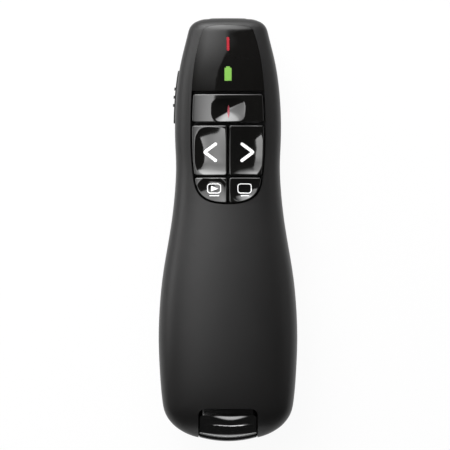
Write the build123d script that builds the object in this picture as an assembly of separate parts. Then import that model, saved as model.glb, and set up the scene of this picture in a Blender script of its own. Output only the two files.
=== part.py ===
"""Hand-held wireless presentation clicker, built piece by piece in millimetres.

The body lies on its back. +Z points out of the button face, +Y to the laser nose and +X to the
right hand side. The origin is on the table, under the middle of the body.
"""
from build123d import *
from functools import lru_cache
from math import asin, cos, pi, sin
import os

# ---- Driving dimensions ----------------------------------------------------------------------
OVERALL_LENGTH = 115.5          # nose to the receiver's end
BODY_WIDTH = 37.8               # across the palm
BODY_HEIGHT = 27.4              # table to the top of the palm
RECEIVER_PROUD = 0.5            # the receiver's end past the body
NOSE_ROUND = 4.5                # length over which the nose closes
TAIL_ROUND = 11.0
NOSE_POWER = 3.4                # a higher power makes a squarer end
TAIL_POWER = 2.4
NOSE_FLAT = 0.5                 # share of the width left flat at the very end
TAIL_FLAT = 0.35
BACK_FLAT = 0.35                # depth planed off the belly, so that it rests
FACE_FULLNESS = 1.0             # section over the face: a higher value is nearer a box
BACK_FULLNESS = 0.8
WALL = 1.8                      # front and rear case
SEAM_GAP = 0.12                 # groove between the two cases

# Places from the nose, places across and heights inside are given for a body of
# 115.5 x 37.8 x 27.4, and these factors carry them along when the body changes size
ALONG = OVERALL_LENGTH / 115.5
ACROSS = BODY_WIDTH / 37.8
UPWARD = BODY_HEIGHT / 27.4

# The body along its length: share of the length from the nose, then the half width as a share
# of the full half width, and the heights of the back and the face as shares of the height
BODY_ROWS = [
    (0.000, 0.529, 0.255, 0.686),
    (0.105, 0.683, 0.243, 0.770),
    (0.175, 0.745, 0.214, 0.794),
    (0.245, 0.768, 0.194, 0.805),
    (0.295, 0.765, 0.180, 0.811),
    (0.350, 0.752, 0.158, 0.820),
    (0.400, 0.763, 0.118, 0.838),
    (0.460, 0.797, 0.064, 0.870),
    (0.530, 0.860, 0.025, 0.912),
    (0.610, 0.940, 0.006, 0.954),
    (0.690, 0.987, 0.000, 0.984),
    (0.765, 1.000, 0.000, 0.998),
    (0.835, 0.984, 0.005, 0.996),
    (0.905, 0.948, 0.015, 0.974),
    (1.000, 0.893, 0.036, 0.927),
]

# Face opening, which the window panel and the keys share: place from the nose, half width
FACE_SIDE = [(3.9, 7.05), (11.2, 8.95), (20.0, 9.90), (29.0, 10.26), (38.0, 10.10), (43.4, 9.60)]
FACE_TOP = 2.0
FACE_BOTTOM = 51.0
SQUARE = 0.95                   # pull of the corner curves, as a share of the half width there
BOWL_BASE, BOWL_BEND = 0.77, 0.37
TOP_BASE, PANEL_CORNER_DROP = 0.7, 0.3
PANEL_END = 20.1                # lower edge of the window panel
PANEL_THICK = 1.0
PANEL_GAP = 0.06                # fitted seam round the panel
LASER_MARK = (3.8, 0.75, 7.25)      # red light pipe: length, width, place from the nose
BATTERY_MARK = (3.5, 1.9, 15.6)     # green light pipe: length, width, place from the nose
BATTERY_NUB = (0.4, 1.0)            # the light pipe's terminal: height, width
PIPE_GAP = 0.04

# Keys
KEY_ROWS = {"laser": (20.95, 28.7), "arrow": (29.5, 43.15), "small": (43.7, 50.6)}
KEY_SIDE_GAP = 0.4
KEY_SPLIT = 0.66                # gap between the left and the right keys
KEY_CORNER = 0.5
KEY_SINK = 0.25                 # key tops below the case's face
KEY_THICK = 1.5
KEY_DISH = 0.7                  # depth of the finger dish
KEY_TRAVEL = 0.5
KEY_STEM_R = 1.6
KEY_FOOT_R = 2.4
KEY_FOOT_THICK = 0.6
STEM_GAP = 0.4                  # round a stem in its guide hole
FOOT_GAP = 0.3                  # under the deck at rest
KEY_STEMS = {                   # key name: place across, place from the nose
    "laser_key": (0.0, 24.9),
    "back_key": (-5.2 * ACROSS, 36.3),
    "next_key": (5.2 * ACROSS, 36.3),
    "slideshow_key": (-4.8 * ACROSS, 46.8),
    "blank_screen_key": (4.8 * ACROSS, 46.8),
}
DECK_THICK = 1.0
DECK_MARGIN = 1.3               # keypad frame past the face opening

# Main board and what it carries
BOARD_THICK = 1.0
BOARD_HALF = 11.0 * ACROSS
BOARD_FROM, BOARD_TO = 17.6, 51.9   # from the nose
BOARD_UNDERSIDE = 12.6 * UPWARD
SWITCH_SIZE = 4.5
SWITCH_HEIGHT = 1.5
SWITCH_FLOOR = 0.3
PLUNGER_R = 1.0
PLUNGER_GAP = 0.15
PLUNGER_LENGTH = 1.3
PLUNGER_SHOWS = 0.9             # plunger above the switch body at rest
CHIP_SIZE, CHIP_HEIGHT, CHIP_PLACE = 5.0, 0.9, 42.0
CRYSTAL_SIZE = (3.2, 2.5, 0.8)
CRYSTAL_PLACE = (4.6 * ACROSS, 33.0)
BOARD_SCREWS = [(-8.9 * ACROSS, 48.5), (8.7 * ACROSS, 20.3)]
SCREW_R = 0.8
SCREW_HEAD_R = 1.4
SCREW_HEAD_THICK = 0.8
SCREW_LENGTH = 5.0
SCREW_GAP = 0.05
POST_R = 1.8
SEAT_GAP = 0.1                 # pieces that rest on one another, between curved faces

# Case screws, in wells that open at the back
CASE_SCREWS = [(side * x * ACROSS, place) for x, place in [(9.2, 15.0), (11.3, 54.6)] for side in (-1, 1)]
CASE_SCREW_LENGTH = 6.0
WELL_R = 1.5
BOSS_R = 2.1
BOSS_BITE = 0.4                 # bosses grow out of the inner layer of the wall
WELL_SEAT = 2.2                 # screw head seat below the seam's lowest height

# Power slider, on the left side
SLIDER_FROM, SLIDER_TO = 14.25, 28.65
SLIDER_HEIGHT = 4.4
SLIDER_PROUD = 0.4
SLIDER_THICK = 0.45
SLIDER_TRAVEL = 2.0
SLIDER_GAP = 0.35
SLIDER_DEPTH_GAP = 0.45
RIB_COUNT = 3
RIB_PITCH = 2.25
RIB_WIDTH, RIB_HEIGHT = 0.7, 3.0
RIB_PROUD = 0.35
STEM_WIDTH, STEM_THICK = 2.6, 1.5
SLIDE_SWITCH = (3.2, 8.4, 2.9)
LEVER_WIDTH, LEVER_THICK = 1.6, 1.0

# Laser and indicators
BARREL_R = 3.2
BARREL_BORE_R = 2.3
BARREL_FROM, BARREL_TO = 2.6, 13.5
LENS_THICK = 1.0
DIODE_R, DIODE_LENGTH = 2.8, 3.2
DRIVER_THICK = 0.8
WINDOW_R, WINDOW_THICK, WINDOW_SINK = 2.1, 1.0, 0.2
HOLDER_HALF, HOLDER_FROM, HOLDER_TO = 5.0, 5.0, 12.0
HOLDER_TOP = 16.3 * UPWARD
INDICATOR_BOARD = (8.0, 0.8)    # width, thickness
INDICATOR_TO = 17.6
LED_SIZE = (1.6, 3.0, 0.8)

# Cells, chassis and door; the cells fill the room that the body leaves them
CELL_D = 10.5 * UPWARD
CELL_NUB_R, CELL_NUB = 1.9, 0.9
CELL_GAP = 0.25
CELL_LIFT = 1.15                # cells above the door's wall
CELLS_TO_TAIL = 9.0             # from the body's end to the bay
BAY_FROM = 58.4                 # the bay's front wall, from the nose
SPRING_LENGTH = 2.6
SPRING_R, SPRING_WIRE = 3.0, 0.5
CONTACT_THICK = 0.4
TRAY_WALL = 1.0
TRAY_ROOF = 0.6
TRAY_SKIRT = 6.2 * UPWARD       # lower edge of the tray's walls
DOOR_WALL = 1.2
DOOR_HALF = 12.7 * ACROSS
DOOR_FRONT = 58.75              # the door's front edge, from the nose
DOOR_CORNER = 3.0
DOOR_GAP = 0.3
GROOVE_COUNT, GROOVE_PITCH, GROOVE_WIDTH, GROOVE_DEPTH, GROOVE_LENGTH = 6, 1.8, 0.9, 0.4, 11.0
LEAD_WIDTH = 2.0

# Receiver
RECEIVER_WIDTH, RECEIVER_THICK = 15.7, 8.0 * UPWARD
RECEIVER_TIP = 54.5             # the plug's tip, from the nose
RECEIVER_CORNER = 1.2
RECEIVER_WALL = 0.9
RECEIVER_GAP = 0.2
RECEIVER_FLOOR_GAP = 0.15
NOTCH_LENGTH = 8.7              # notch in the front case, from the body's end
NOTCH_CORNER = 2.0
GRIP_LENGTH = 6.2
GRIP_SINK = 0.35
GRIP_DISH = (13.2, 2.7, 1.1)    # finger dish: length across, width, depth
DOCK_WALL = 1.0
PLUG_WIDTH, PLUG_THICK, PLUG_LENGTH, PLUG_WALL = 12.0, 4.5, 12.2, 0.3
PLUG_WINDOW, PLUG_WINDOW_X = 2.4, 3.0
TONGUE_WIDTH, TONGUE_THICK, TONGUE_SHORT = 10.4, 1.9, 1.0
PIN_COUNT, PIN_PITCH, PIN_WIDTH, PIN_LENGTH, PIN_THICK = 4, 2.25, 1.0, 8.0, 0.15

# ---- Places worked out from the sizes --------------------------------------------------------
BODY_LENGTH = OVERALL_LENGTH - RECEIVER_PROUD
NOSE_Y = OVERALL_LENGTH / 2
TAIL_Y = NOSE_Y - BODY_LENGTH
HALF_WIDTH = BODY_WIDTH / 2
FAR = 2 * BODY_HEIGHT           # reaches clear of the body on every side


def at(place):
    """Y of a place measured from the nose."""
    return NOSE_Y - place * ALONG


CELL_Z = DOOR_WALL + CELL_LIFT + CELL_D / 2
CELL_X = CELL_D / 2 + CELL_GAP
ROOF_Z = CELL_Z + CELL_D / 2 + CELL_GAP
DOCK_Z = ROOF_Z + TRAY_ROOF
RECEIVER_Z = DOCK_Z + RECEIVER_FLOOR_GAP + RECEIVER_THICK / 2
RECEIVER_TOP = RECEIVER_Z + RECEIVER_THICK / 2
RECEIVER_Y = at(RECEIVER_TIP)
PLUG_Y = RECEIVER_Y - PLUG_LENGTH

SEAM_NOSE_Z = 12.6 * UPWARD
SEAM_SAG_Z = 10.4 * UPWARD
SEAM_TAIL_Z = RECEIVER_Z
SEAM_RUN = 5.0                  # the seam's curve past both ends

BOARD_TOP = BOARD_UNDERSIDE + BOARD_THICK
SWITCH_TOP = BOARD_TOP + SWITCH_HEIGHT
PLUNGER_TOP = SWITCH_TOP + PLUNGER_SHOWS
FOOT_TOP = PLUNGER_TOP + KEY_FOOT_THICK
DECK_Z = FOOT_TOP + FOOT_GAP
DECK_TOP = DECK_Z + DECK_THICK
LED_BASE = HOLDER_TOP + INDICATOR_BOARD[1]
LED_TOP = LED_BASE + LED_SIZE[2]

SLIDER_Y = at((SLIDER_FROM + SLIDER_TO) / 2)
SLIDER_Z = BOARD_UNDERSIDE - SLIDE_SWITCH[2] / 2        # in line with the switch under the board
SLIDER_FLOOR = SLIDER_THICK - SLIDER_PROUD + SLIDER_DEPTH_GAP           # pocket floor, under the skin
LEVER_TIP = BOARD_HALF + 0.6
LEAD_Z = (BOARD_UNDERSIDE - 3 * CONTACT_THICK, BOARD_UNDERSIDE - 2 * CONTACT_THICK)     # battery leads
LEAD_SLIT = (LEAD_Z[0] - CELL_GAP, ROOF_Z)


def seam_z(y):
    """Height of the seam between the two cases."""
    start = TAIL_Y - SEAM_RUN
    t = (y - start) / (NOSE_Y + SEAM_RUN - start)
    return (1 - t) ** 2 * SEAM_TAIL_Z + 2 * t * (1 - t) * SEAM_SAG_Z + t ** 2 * SEAM_NOSE_Z


# ---- The body's form ---------------------------------------------------------------------------
def row_at(y):
    """Half width, back and face of the body at a place along it."""
    share = min(max((NOSE_Y - y) / BODY_LENGTH, 0), 1)
    for low, high in zip(BODY_ROWS, BODY_ROWS[1:]):
        if share <= high[0]:
            t = (share - low[0]) / (high[0] - low[0])
            half, back, face = (a + (b - a) * t for a, b in zip(low[1:], high[1:]))
            return half * HALF_WIDTH, back * BODY_HEIGHT - BACK_FLAT, face * BODY_HEIGHT


def end_rounding(radius, power, flat, steps=6):
    """Distances from a rounded end, each with the share of the full section there."""
    start = asin(flat ** (power / 2))
    lost = radius * (1 - cos(start) ** (2 / power))
    turns = [start + (pi / 2 - start) * i / steps for i in range(steps + 1)]
    return [(radius * (1 - cos(t) ** (2 / power)) - lost, sin(t) ** (2 / power)) for t in turns]


def body_section(y, fill, inset):
    """Closed section across the body: one curve over the face and one round the back."""
    half, back, face = row_at(y)
    middle = seam_z(y)
    half = (half - inset) * fill

    def curve(rise, fullness):
        shoulder = fullness * rise
        crown = (32 * rise - 10 * shoulder) / 20    # puts the middle of the curve at the rise
        reach = (0.7 + 0.5 * fullness) * half
        side = [(half, 0), (half, shoulder), (reach, crown)]
        points = side + [(-x, z) for x, z in reversed(side)]
        return [(x, y, middle + z) for x, z in points]

    over = Bezier(*curve((face - inset - middle) * fill, FACE_FULLNESS))
    under = Bezier(*reversed(curve((back + inset - middle) * fill, BACK_FULLNESS)))
    return Wire([over.edge(), under.edge()])


@lru_cache(maxsize=None)
def body_form(inset=0.0):
    """Solid of the whole body with its skin drawn in by the inset."""
    nose = end_rounding(NOSE_ROUND - inset, NOSE_POWER, NOSE_FLAT)
    tail = end_rounding(TAIL_ROUND - inset, TAIL_POWER, TAIL_FLAT)
    clear = 0.02 * BODY_LENGTH
    ends = [(NOSE_Y - inset - d, fill) for d, fill in nose]
    tails = [(TAIL_Y + inset + d, fill) for d, fill in reversed(tail)]
    rows = [(NOSE_Y - share * BODY_LENGTH, 1.0) for share, *_ in BODY_ROWS]
    rows = [row for row in rows if tails[0][0] + clear < row[0] < ends[-1][0] - clear]
    solid = Solid.make_loft([body_section(*row, inset) for row in ends + rows + tails])
    return solid & Pos(0, 0, FAR) * Box(2 * FAR, 4 * BODY_LENGTH, 2 * FAR)


def block(x, y, z):
    """Box from three (low, high) pairs."""
    return Pos(x[0], y[0], z[0]) * Box(x[1] - x[0], y[1] - y[0], z[1] - z[0], align=Align.MIN)


def around(middle, length):
    """(Low, high) pair of a length about its middle."""
    return middle - length / 2, middle + length / 2


def post(x, y, z, radius):
    """Upright cylinder between two heights."""
    return Pos(x, y, (z[0] + z[1]) / 2) * Cylinder(radius, z[1] - z[0])


def rod(x, y, z, radius):
    """Cylinder along Y between two places."""
    length = y[1] - y[0]
    return Pos(x, (y[0] + y[1]) / 2, z) * Rot(90, 0, 0) * Cylinder(radius, length)


def prism(outline, z):
    """Outline carried up from one height to another."""
    return Pos(0, 0, z[0]) * extrude(outline, z[1] - z[0])


def beyond_seam(above, gap=SEAM_GAP / 2):
    """Everything above or below the seam, less half of its groove."""
    low, high = TAIL_Y - SEAM_RUN, NOSE_Y + SEAM_RUN
    shift = gap if above else -gap
    edge = -FAR if not above else 2 * FAR
    start, middle, end = (z + shift for z in (SEAM_TAIL_Z, SEAM_SAG_Z, SEAM_NOSE_Z))
    curve = Bezier((low, start), ((low + high) / 2, middle), (high, end))
    sides = Polyline((high, end), (high, edge), (low, edge), (low, start))
    return extrude(Plane.YZ * make_face(Curve() + [curve, sides]), FAR, both=True)


@lru_cache(maxsize=None)
def face_outline(inset=0.0):
    """Outline of the face opening, drawn in by the inset."""
    side = [(half * ACROSS - inset, at(place)) for place, half in FACE_SIDE]
    (top_x, top_y), (low_x, low_y) = side[0], side[-1]
    head, foot = at(FACE_TOP) - inset, at(FACE_BOTTOM) + inset
    bend = foot + BOWL_BEND * (low_y - foot)
    corner = head - PANEL_CORNER_DROP
    left = [(-x, y) for x, y in side]
    curves = [
        Spline(*side),
        Bezier((low_x, low_y), (SQUARE * low_x, bend), (BOWL_BASE * low_x, foot), (0, foot)),
        Bezier((0, foot), (-BOWL_BASE * low_x, foot), (-SQUARE * low_x, bend), (-low_x, low_y)),
        Spline(*reversed(left)),
        Bezier((-top_x, top_y), (-SQUARE * top_x, corner), (-TOP_BASE * top_x, head), (0, head)),
        Bezier((0, head), (TOP_BASE * top_x, head), (SQUARE * top_x, corner), (top_x, top_y)),
    ]
    return make_face(Curve() + curves)


def band(outline, places, across=(-FAR, FAR)):
    """Part of an outline between two places from the nose, and between two places across."""
    low, high = at(places[1]), at(places[0])
    frame = Rectangle(across[1] - across[0], high - low)
    return outline & Pos((across[0] + across[1]) / 2, (low + high) / 2) * frame


def skin(inset, thick):
    """The layer of the body between two insets."""
    return body_form(inset) - body_form(inset + thick)


def sunk(tool, depth):
    """Part of a cutting tool that bites to a depth under the body's skin."""
    return tool - body_form(depth)


# ---- Face panel and its light pipes ------------------------------------------------------------
def laser_mark(grow=0.0):
    length, width, place = LASER_MARK
    return Pos(0, at(place)) * Rot(0, 0, 90) * SlotOverall(length + 2 * grow, width + 2 * grow)


def battery_mark(grow=0.0):
    length, width, place = BATTERY_MARK
    nub_height, nub_width = BATTERY_NUB
    cell = Pos(0, at(place)) * Rectangle(width + 2 * grow, length + 2 * grow)
    nub_y = at(place) + (length + nub_height) / 2
    nub = Pos(0, nub_y) * Rectangle(nub_width + 2 * grow, nub_height + 2 * grow)
    return cell + nub


def face_panel():
    outline = band(face_outline(PANEL_GAP), (0, PANEL_END))
    plate = prism(outline, (HOLDER_TOP, FAR)) & skin(0, PANEL_THICK)
    return plate - prism(laser_mark(PIPE_GAP), (0, FAR)) - prism(battery_mark(PIPE_GAP), (0, FAR))


def light_pipe(mark):
    return prism(mark, (LED_TOP + SEAT_GAP, FAR)) & body_form(0.0)


# ---- Keys and the frame that guides them -------------------------------------------------------
def key_outline(name):
    across, place = KEY_STEMS[name]
    row = next(span for span in KEY_ROWS.values() if span[0] < place < span[1])
    if across < 0:
        reach = (-FAR, -KEY_SPLIT / 2)
    elif across > 0:
        reach = (KEY_SPLIT / 2, FAR)
    else:
        reach = (-FAR, FAR)
    outline = band(face_outline(KEY_SIDE_GAP), row, reach)
    return fillet(outline.vertices(), KEY_CORNER)


def key(name):
    """Dished plate on a stem, with a foot that the deck holds down."""
    across, place = KEY_STEMS[name]
    outline = key_outline(name)
    plate = prism(outline, (DECK_TOP + KEY_TRAVEL + FOOT_GAP, FAR)) & skin(KEY_SINK, KEY_THICK)
    box = outline.bounding_box()
    centre = box.center()
    top = row_at(centre.Y)[2] - KEY_SINK
    bowl = scale(Sphere(1), by=(0.62 * box.size.X, 0.62 * box.size.Y, 2 * KEY_DISH))
    plate -= Pos(centre.X, centre.Y, top + KEY_DISH) * bowl
    stem = post(across, at(place), (FOOT_TOP, top - KEY_DISH - KEY_THICK / 2), KEY_STEM_R)
    foot = post(across, at(place), (PLUNGER_TOP, FOOT_TOP), KEY_FOOT_R)
    return plate + stem + foot


def key_holes(radius):
    return Sketch() + [Pos(x, at(place)) * Circle(radius) for x, place in KEY_STEMS.values()]


def keypad_frame():
    """Deck under the keys, with a rim that reaches up to the front case."""
    reach = (PANEL_END - DECK_MARGIN, BODY_LENGTH)
    outer = band(face_outline(-DECK_MARGIN), reach)
    inner = band(face_outline(-SEAT_GAP), (PANEL_END, BODY_LENGTH))
    frame = prism(outer, (DECK_Z, DECK_TOP)) + prism(outer - inner, (DECK_TOP, FAR))
    frame &= body_form(WALL + SEAT_GAP)
    return frame - prism(key_holes(KEY_STEM_R + STEM_GAP), (0, FAR))


def key_switch_body(name):
    across, place = KEY_STEMS[name]
    body = slab((across, at(place)), (SWITCH_SIZE, SWITCH_SIZE, SWITCH_HEIGHT), BOARD_TOP)
    body = chamfer(body.edges().filter_by(Axis.Z), SWITCH_SIZE / 12)
    bore = post(across, at(place), (BOARD_TOP + SWITCH_FLOOR, FAR), PLUNGER_R + PLUNGER_GAP)
    return body - bore


def key_switch_plunger(name):
    across, place = KEY_STEMS[name]
    return post(across, at(place), (PLUNGER_TOP - PLUNGER_LENGTH, PLUNGER_TOP), PLUNGER_R)


# ---- Cases -------------------------------------------------------------------------------------
def notch():
    """Outline of the receiver's notch in the tail, open at the end."""
    half = RECEIVER_WIDTH / 2 + RECEIVER_GAP
    top = TAIL_Y + NOTCH_LENGTH
    outline = Pos(0, (top + TAIL_Y - FAR) / 2) * Rectangle(2 * half, top - TAIL_Y + FAR)
    return fillet(outline.vertices().group_by(Axis.Y)[-1], NOTCH_CORNER)


def slider_pocket():
    """Shallow pocket for the power slider, with a slot through its floor for the stem."""
    low, high = at(SLIDER_TO) - SLIDER_TRAVEL - SLIDER_GAP, at(SLIDER_FROM) + SLIDER_GAP
    pocket = block((-FAR, 0), (low, high), around(SLIDER_Z, SLIDER_HEIGHT + 2 * SLIDER_GAP))
    front = SLIDER_Y + STEM_WIDTH / 2 + SLIDER_GAP
    back = SLIDER_Y - STEM_WIDTH / 2 - SLIDER_TRAVEL - SLIDER_GAP
    slot = block((-FAR, -BARREL_R), (back, front), around(SLIDER_Z, STEM_THICK + 2 * SLIDER_GAP))
    return sunk(pocket, SLIDER_FLOOR) + slot


def nose_bore():
    return rod(0, (at(WALL) - NOSE_ROUND, NOSE_Y + WALL), SEAM_NOSE_Z, WINDOW_R + SCREW_GAP)


def case_bosses(above):
    """Screw bosses, grown out of the wall up to the seam."""
    zone = body_form(WALL - BOSS_BITE) & beyond_seam(above)
    return [post(x, at(place), (0, FAR), BOSS_R) & zone for x, place in CASE_SCREWS]


def case_screw_seat(place):
    return seam_z(at(place)) - WELL_SEAT


def front_case():
    case = skin(0, WALL) & beyond_seam(True)
    case -= prism(band(face_outline(), (PANEL_END, BODY_LENGTH)), (DECK_Z, FAR))
    case -= sunk(prism(band(face_outline(), (0, PANEL_END)), (HOLDER_TOP, FAR)), PANEL_THICK + PANEL_GAP)
    for mark in (laser_mark(PIPE_GAP), battery_mark(PIPE_GAP)):
        case -= prism(mark, (HOLDER_TOP, FAR))
    case -= prism(notch(), (DOCK_Z, FAR))
    for (x, place), boss in zip(CASE_SCREWS, case_bosses(True)):
        seat = case_screw_seat(place)
        case += boss
        case -= post(x, at(place), (seat, seat + CASE_SCREW_LENGTH + SCREW_GAP), SCREW_R + SCREW_GAP)
    return case - slider_pocket() - nose_bore()


def door_outline(grow=0.0):
    front = at(DOOR_FRONT) + grow
    half = DOOR_HALF + grow
    outline = Pos(0, (front + TAIL_Y - FAR) / 2) * Rectangle(2 * half, front - TAIL_Y + FAR)
    return fillet(outline.vertices().group_by(Axis.Y)[-1], DOOR_CORNER)


def rear_case():
    case = skin(0, WALL) & beyond_seam(False)
    for (x, place), boss in zip(CASE_SCREWS, case_bosses(False)):
        seat = case_screw_seat(place)
        case += boss
        case -= post(x, at(place), (-FAR, seat), WELL_R)
        case -= post(x, at(place), (seat, FAR), SCREW_R + SCREW_GAP)
    for x, place in BOARD_SCREWS:
        column = post(x, at(place), (0, FAR), POST_R) & body_form(WALL - BOSS_BITE)
        case += column & block((-FAR, FAR), (-FAR, FAR), (0, BOARD_UNDERSIDE))
        case -= post(x, at(place), (BOARD_TOP - SCREW_LENGTH - SCREW_GAP, FAR), SCREW_R + SCREW_GAP)
    case -= prism(door_outline(DOOR_GAP), (-FAR, DOCK_Z))
    case -= prism(notch(), (DOCK_Z - DOOR_GAP, FAR))
    return case - slider_pocket() - nose_bore()


def screw(x, y, seat, length):
    """Pan-head screw whose shank goes down from its seat, with a cross slot."""
    head = post(x, y, (seat, seat + SCREW_HEAD_THICK), SCREW_HEAD_R)
    head = fillet(head.edges().group_by(Axis.Z)[-1], SCREW_HEAD_THICK / 3)
    slot = Box(1.5 * SCREW_R, SCREW_R / 2, SCREW_HEAD_THICK)
    cross = slot + Rot(0, 0, 90) * slot
    head -= Pos(x, y, seat + SCREW_HEAD_THICK) * cross
    return head + post(x, y, (seat - length, seat), SCREW_R)


def case_screw(x, place):
    """The same screw turned over, driven from the back."""
    seat = case_screw_seat(place)
    return Pos(x, at(place), seat) * Rot(180, 0, 0) * screw(0, 0, 0, CASE_SCREW_LENGTH)


def battery_door():
    door = (skin(0, DOOR_WALL) & prism(door_outline(), (-FAR, DOCK_Z - DOOR_GAP)))
    for index in range(GROOVE_COUNT):
        y = at(DOOR_FRONT) - DOOR_CORNER - GROOVE_PITCH * (index + 0.5)
        groove = prism(Pos(0, y) * SlotOverall(GROOVE_LENGTH, GROOVE_WIDTH), (-FAR, CELL_Z))
        door -= sunk(groove, GROOVE_DEPTH)
    return door


# ---- Chassis: battery tray below, receiver dock above ------------------------------------------
def bay():
    """Inside of the battery tray: low and high along Y, and the half width."""
    return TAIL_Y + CELLS_TO_TAIL, at(BAY_FROM), 2 * CELL_X


def chassis():
    low, high, half = bay()
    wall = TRAY_WALL
    tray = block((-half - wall, half + wall), (low - wall, high + wall), (TRAY_SKIRT, DOCK_Z))
    tray &= body_form(WALL + SEAT_GAP)
    tray -= block((-half, half), (low, high), (0, ROOF_Z))
    inner = RECEIVER_WIDTH / 2 + RECEIVER_GAP
    outer = inner + DOCK_WALL
    ceiling = RECEIVER_TOP + RECEIVER_GAP
    end = RECEIVER_Y + RECEIVER_GAP
    dock = block((-outer, outer), (TAIL_Y, end + wall), (ROOF_Z, ceiling + DOCK_WALL))
    lip = TAIL_Y + NOTCH_LENGTH + SEAT_GAP
    dock += block((-outer, outer), (TAIL_Y, lip + wall), (ceiling, FAR))
    dock &= body_form(WALL + SEAT_GAP)
    dock -= block((-inner, inner), (TAIL_Y - wall, end), (DOCK_Z, ceiling))
    dock -= prism(notch(), (DOCK_Z, FAR))
    for x in (-CELL_X, CELL_X):
        tray -= block((x - LEAD_WIDTH, x + LEAD_WIDTH), (high - wall, high + 2 * wall), LEAD_SLIT)
    return tray + dock


def cell(x, flip):
    """Round cell with its raised terminal, pointing to the nose unless it is flipped."""
    low, high, _ = bay()
    ends = (CELL_NUB, SPRING_LENGTH) if flip else (SPRING_LENGTH, CELL_NUB)
    start, end = low + CONTACT_THICK + ends[0], high - CONTACT_THICK - ends[1]
    can = rod(x, (start, end), CELL_Z, CELL_D / 2)
    can = fillet(can.edges(), CELL_GAP * 2)
    tip = start if flip else end
    return can + rod(x, (tip - CELL_NUB, tip + CELL_NUB), CELL_Z, CELL_NUB_R)


def contact_spring(x, flip):
    """Sleeve that stands in for the coil under a cell's flat end."""
    low, high, _ = bay()
    start = high - CONTACT_THICK - SPRING_LENGTH if flip else low + CONTACT_THICK
    sleeve = rod(x, (start, start + SPRING_LENGTH), CELL_Z, SPRING_R)
    return sleeve - rod(x, (low, high), CELL_Z, SPRING_R - SPRING_WIRE)


def bridge_contact():
    low, _, half = bay()
    reach = half - CELL_GAP
    return block((-reach, reach), (low, low + CONTACT_THICK), (CELL_Z - SPRING_R, CELL_Z + SPRING_R))


def end_contact(x):
    """Plate at the nose end of the bay, with a lead that runs to the main board."""
    _, high, _ = bay()
    plate = block((x - SPRING_R, x + SPRING_R), (high - CONTACT_THICK, high), (CELL_Z - SPRING_R, LEAD_Z[1]))
    board_y = at(BOARD_TO) + LEAD_WIDTH
    half = LEAD_WIDTH / 2
    lead = block((x - half, x + half), (high - CONTACT_THICK, board_y), LEAD_Z)
    riser = block((x - half, x + half), (board_y - CONTACT_THICK, board_y), (LEAD_Z[0], BOARD_UNDERSIDE))
    return plate + lead + riser


# ---- Boards and laser --------------------------------------------------------------------------
def main_board():
    centre = (at(BOARD_FROM) + at(BOARD_TO)) / 2
    length = at(BOARD_FROM) - at(BOARD_TO)
    outline = Pos(0, centre) * RectangleRounded(2 * BOARD_HALF, length, KEY_CORNER)
    board = prism(outline, (BOARD_UNDERSIDE, BOARD_TOP))
    for x, place in BOARD_SCREWS:
        board -= post(x, at(place), (0, FAR), SCREW_R + SCREW_GAP)
    return board


def slab(centre, size, base):
    """Flat component standing on a base height."""
    return Pos(centre[0], centre[1], base + size[2] / 2) * Box(*size)


def radio_chip():
    return slab((0, at(CHIP_PLACE)), (CHIP_SIZE, CHIP_SIZE, CHIP_HEIGHT), BOARD_UNDERSIDE - CHIP_HEIGHT)


def crystal():
    across, place = CRYSTAL_PLACE
    return slab((across, at(place)), CRYSTAL_SIZE, BOARD_UNDERSIDE - CRYSTAL_SIZE[2])


def slide_switch_body():
    wide, long, high = SLIDE_SWITCH
    x = -BOARD_HALF + wide / 2
    body = slab((x, SLIDER_Y - SLIDER_TRAVEL / 2), (wide, long, high), BOARD_UNDERSIDE - high)
    front = SLIDER_Y + LEVER_WIDTH / 2 + FOOT_GAP
    back = SLIDER_Y - SLIDER_TRAVEL - LEVER_WIDTH / 2 - FOOT_GAP
    return body - block((-FAR, x + FOOT_GAP), (back, front), around(SLIDER_Z, LEVER_THICK + 2 * FOOT_GAP))


def slide_switch_lever():
    reach = (-LEVER_TIP, -BOARD_HALF + SLIDE_SWITCH[0] / 2)
    return block(reach, around(SLIDER_Y, LEVER_WIDTH), around(SLIDER_Z, LEVER_THICK))


def power_slider():
    """Side cap with finger ribs, on a stem that reaches in to the switch lever."""
    zone = block((-FAR, 0), (at(SLIDER_TO), at(SLIDER_FROM)), around(SLIDER_Z, SLIDER_HEIGHT))
    zone = fillet(zone.edges().filter_by(Axis.X), SLIDER_HEIGHT / 6)
    cap = zone & skin(-SLIDER_PROUD, SLIDER_THICK)
    for index in range(RIB_COUNT):
        y = SLIDER_Y + RIB_PITCH * (index - (RIB_COUNT - 1) / 2)
        rib = block((-FAR, 0), around(y, RIB_WIDTH), around(SLIDER_Z, RIB_HEIGHT))
        cap += rib & skin(-SLIDER_PROUD - RIB_PROUD, RIB_PROUD + SLIDER_THICK / 2)
    stem = block((-FAR, -LEVER_TIP), around(SLIDER_Y, STEM_WIDTH), around(SLIDER_Z, STEM_THICK))
    return cap + (stem & body_form(-SLIDER_PROUD + SLIDER_THICK / 2))


def laser_barrel():
    back, front = at(BARREL_TO), at(BARREL_FROM)
    seat = back + DIODE_LENGTH
    tube = rod(0, (back, front), SEAM_NOSE_Z, BARREL_R)
    tube -= rod(0, (seat, front), SEAM_NOSE_Z, BARREL_BORE_R)
    return tube - rod(0, (back, seat), SEAM_NOSE_Z, DIODE_R + SCREW_GAP)


def laser_lens():
    front = at(BARREL_FROM) - LENS_THICK
    return rod(0, (front - LENS_THICK, front), SEAM_NOSE_Z, BARREL_BORE_R - SCREW_GAP)


def laser_diode():
    back = at(BARREL_TO)
    return rod(0, (back, back + DIODE_LENGTH - SCREW_GAP), SEAM_NOSE_Z, DIODE_R)


def laser_driver():
    back = at(BARREL_TO)
    return rod(0, (back - DRIVER_THICK, back), SEAM_NOSE_Z, BARREL_R)


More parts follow.
